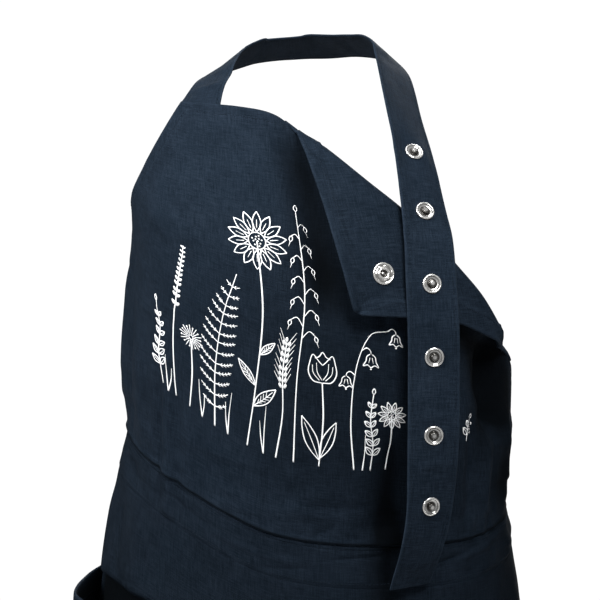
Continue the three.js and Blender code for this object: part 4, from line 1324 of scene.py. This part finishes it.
# two mirrored outer petals with fine lines in them, a middle one between them, and leaves up the stem
def tulip(points, size, leaves=()):
    path = stroke(points, ink["stem"])
    top = path[-1]
    outer = ((0, 0), (-0.36, 0.06), (-0.55, 0.4), (-0.5, 0.8), (-0.38, 1.12), (-0.14, 0.86), (0, 0.72))
    inner = (((0.02, 0.12), (0.2, 0.42), (0.24, 0.8)), ((0.12, 0.1), (0.36, 0.38), (0.4, 0.7)))
    middle = ((-0.3, 0.98), (-0.14, 1.06), (0, 1.24), (0.14, 1.06), (0.3, 0.98))
    for side in (-1, 1):
        stroke(turnedBy([(side * x, y) for x, y in outer], 0, top, size), ink["line"], step=1)
        for line in inner:
            stroke(turnedBy([(side * x, y) for x, y in line], 0, top, size), ink["fine"], 0.4, 1.2)
    stroke(turnedBy(middle, 0, top, size), ink["line"], step=1)
    for share, angle, length in leaves:
        leaf(place(path, share)[0], angle, length, length * 0.13, 1)


# globe of short spokes, every other one with a seed at its end
def globe(points, radius, spokes=20):
    path = stroke(points, ink["stem"])
    centre = path[-1] + (0, radius * 0.3)
    for k in range(spokes):
        angle = 360.0 * k / spokes + 9
        inner, outer = (0.34, 0.98) if k % 2 else (0.2, 0.72)
        stroke(turnedBy(((0, radius * inner), (0, radius * outer)), angle, centre), ink["fine"], 0.2, 1.4)
        if k % 2 == 0:
            dot(turnedBy(((0, radius * 0.8),), angle, centre)[0], 0.7)
    stroke(circle(centre, radius * 0.17, 15), ink["fine"], step=0.9)


# bent blades of grass from one foot
def blades(base, *tips):
    x, y = base
    for across, up, bend in tips:
        stroke((base, (x + across * 0.35 + bend, y + up * 0.5), (x + across, y + up)), ink["stem"], 0.7)


leafySprig(((-140, 74), (-146, 96), (-145, 122), (-150, 142)), 6, 9.5, 2.3)
lavender(((-128, 70), (-131, 120), (-127, 168), (-121, 208)), 12, 2.4, 0.58)
globe(((-115, 69), (-113, 98), (-114, 126)), 10.5)
fern(((-93, 66), (-93, 112), (-87, 160), (-75, 204)), 13, 12.5)
stem = daisy(((-66, 64), (-59, 120), (-54, 180), (-58, 238)), 24, 14)
for share, angle, length in ((0.2, 42, 27), (0.3, -40, 22), (0.46, 42, 18)):
    leaf(stem[int(share * len(stem))], angle, length, length * 0.15, 4)
wheat(((-43, 63), (-38, 100), (-38, 136), (-35, 160)), 8, 3.5)
oatGrass(((-29, 63), (-27, 130), (-21, 200), (-27, 268)), 11, 10)
tulip(((-9, 63), (-6, 100), (-7, 132)), 20, ((0.06, -22, 38), (0.1, 22, 34)))
bellFlower(((19, 63), (16, 104), (20, 150), (31, 176), (45, 181)), ((0.6, -1, 8), (0.77, 1, 9), (1.0, 1, 8)))
leafySprig(((33, 63), (35, 84), (32, 106), (34, 128)), 6, 9.5, 2.4)
daisy(((48, 63), (51, 88), (50, 112)), 12, 11, 12, 8)
leafySprig(((77, 65), (78, 92), (82, 118)), 6, 10, 2.6)
leafySprig(((119, 98), (121, 108), (125, 120)), 2, 9, 3.2, start=0.3)
for base, tips in (
        ((-134, 71), ((-5, 28, -1), (2, 20, 1))), ((-104, 67), ((-3, 30, -1), (2, 20, 1))),
        ((-82, 65), ((-2, 26, -1), (3, 36, 0))), ((-53, 63), ((-3, 26, -1), (2, 40, 0))),
        ((26, 63), ((2, 30, 1),)), ((70, 64), ((-2, 38, 0), (2, 26, 1)))):
    blades(base, *tips)


# every stroke is a closed ribbon of five points round, and every dot a low cone, all laid on the bib
def inkMesh():
    places, heights, faces, count = [], [], [], 0
    half = ink["height"] * 0.5
    m = 5
    for path, width in strokes:
        along = unit(np.gradient(path, axis=0))
        beside = np.stack((along[:, 1], -along[:, 0]), -1) * width[:, None] / 2
        left, right = path - beside, path + beside
        places.append(np.stack((left, left, path, right, right), 1).reshape(-1, 2))
        heights.append(np.tile((-ink["under"], half, ink["height"], half, -ink["under"]), len(path)))
        last = count + (len(path) - 1) * m
        faces += (tubeFaces(len(path), m) + count).tolist()
        faces += [list(range(count, count + m))[::-1], list(range(last, last + m))]
        count = last + m
    sides = ink["sides"]
    a = np.linspace(0, 2 * np.pi, sides, endpoint=False)
    k = np.arange(sides)
    after = (k + 1) % sides
    for s, t, radius, tall, turn in dots:
        x, y = radius * np.cos(a), radius * tall * np.sin(a)
        ring = np.stack((s + x * np.cos(turn) + y * np.sin(turn),
            t - x * np.sin(turn) + y * np.cos(turn)), -1)
        places.append(np.concatenate((ring, ring, np.array(((s, t), (s, t))))))
        heights.append(np.repeat((-ink["under"], half, ink["height"] * 1.4, -ink["under"]),
            (sides, sides, 1, 1)))
        for corners in ((k, after, after + sides, k + sides),
                (k + sides, after + sides, np.full(sides, 2 * sides)),
                (after, k, np.full(sides, 2 * sides + 1))):
            faces += (np.stack(corners, -1) + count).tolist()
        count += 2 * sides + 2
    s, t = np.concatenate(places).T
    return drape(s, t, bibRelief(s, t) + bib["wall"] / 2 + np.concatenate(heights)), faces


corners, faces = inkMesh()
meadow = makeMesh("printedMeadow", corners, faces, printMaterial)
print("print made, %d strokes and %d dots" % (len(strokes), len(dots)))

# floor, light and camera

floorSize, floorLevel = 3.6, -1.05
bpy.ops.mesh.primitive_plane_add(size=floorSize, location=(0, 0, floorLevel))
floor = bpy.context.object
floor.name = "paleFloor"
floorFinish = Finish("floorFinish")
floor.data.materials.append(floorFinish.surface({"Base Color": (0.86, 0.86, 0.86, 1), "Roughness": 0.9}))

# the backdrop is white, and the room that lights the cloth is dimmer than it
scene = bpy.context.scene
world = bpy.data.worlds.new("studio")
scene.world = world
world.use_nodes = True
worldNodes, worldLinks = world.node_tree.nodes, world.node_tree.links
worldNodes.clear()
roomLight, backdrop, seen, choose, worldOut = (worldNodes.new("ShaderNode" + kind)
    for kind in ("Background", "Background", "LightPath", "MixShader", "OutputWorld"))
for light, colour, strength in ((roomLight, (0.92, 0.96, 1.0, 1), 0.15), (backdrop, (1, 1, 1, 1), 1.05)):
    light.inputs["Color"].default_value = colour
    light.inputs["Strength"].default_value = strength
for output, socket in (
        (seen.outputs["Is Camera Ray"], choose.inputs[0]), (roomLight.outputs[0], choose.inputs[1]),
        (backdrop.outputs[0], choose.inputs[2]), (choose.outputs[0], worldOut.inputs["Surface"])):
    worldLinks.new(output, socket)
scene.view_settings.view_transform = "Standard"
scene.view_settings.look = "None"

studio = (
    {"name": "keyLight", "place": (0.3, -1.5, 1.0), "aim": (-0.05, -0.18, 0.02), "power": 5.4, "size": 0.7,
        "spread": 56},
    {"name": "leftLight", "place": (-1.6, -0.7, 0.75), "aim": (-0.1, -0.1, 0.0), "power": 10, "size": 0.8,
        "spread": 70},
    {"name": "topLight", "place": (0.1, -0.3, 1.5), "aim": (0.0, -0.1, -0.2), "power": 19, "size": 1.0},
    {"name": "backLight", "place": (0.5, 1.6, 0.8), "aim": (0.0, 0.0, -0.4), "power": 60, "size": 1.0},
)


# turns a lamp or the camera so that it looks along its own -Z at a point
def aimed(thing, aim):
    direction = mathutils.Vector(aim) - thing.location
    thing.rotation_euler = direction.to_track_quat("-Z", "Y").to_euler()


for lamp in studio:
    data = bpy.data.lights.new(lamp["name"], "AREA")
    data.energy = lamp["power"]
    data.size = lamp["size"]
    data.spread = np.radians(lamp.get("spread", 180))
    light = bpy.data.objects.new(lamp["name"], data)
    light.location = lamp["place"]
    bpy.context.collection.objects.link(light)
    aimed(light, lamp["aim"])

view = {"azimuth": -5.0, "elevation": 6.0, "distance": 1.9, "target": (-0.018, -0.120, -0.206), "lens": 140}
a, e = np.radians(view["azimuth"]), np.radians(view["elevation"])
back = np.array((np.sin(a) * np.cos(e), -np.cos(a) * np.cos(e), np.sin(e)))
cameraData = bpy.data.cameras.new("photoCamera")
cameraData.lens = view["lens"]
cameraData.sensor_width = 36
camera = bpy.data.objects.new("photoCamera", cameraData)
camera.location = np.array(view["target"]) + back * view["distance"]
bpy.context.collection.objects.link(camera)
aimed(camera, view["target"])
scene.camera = camera

print("all pieces made")
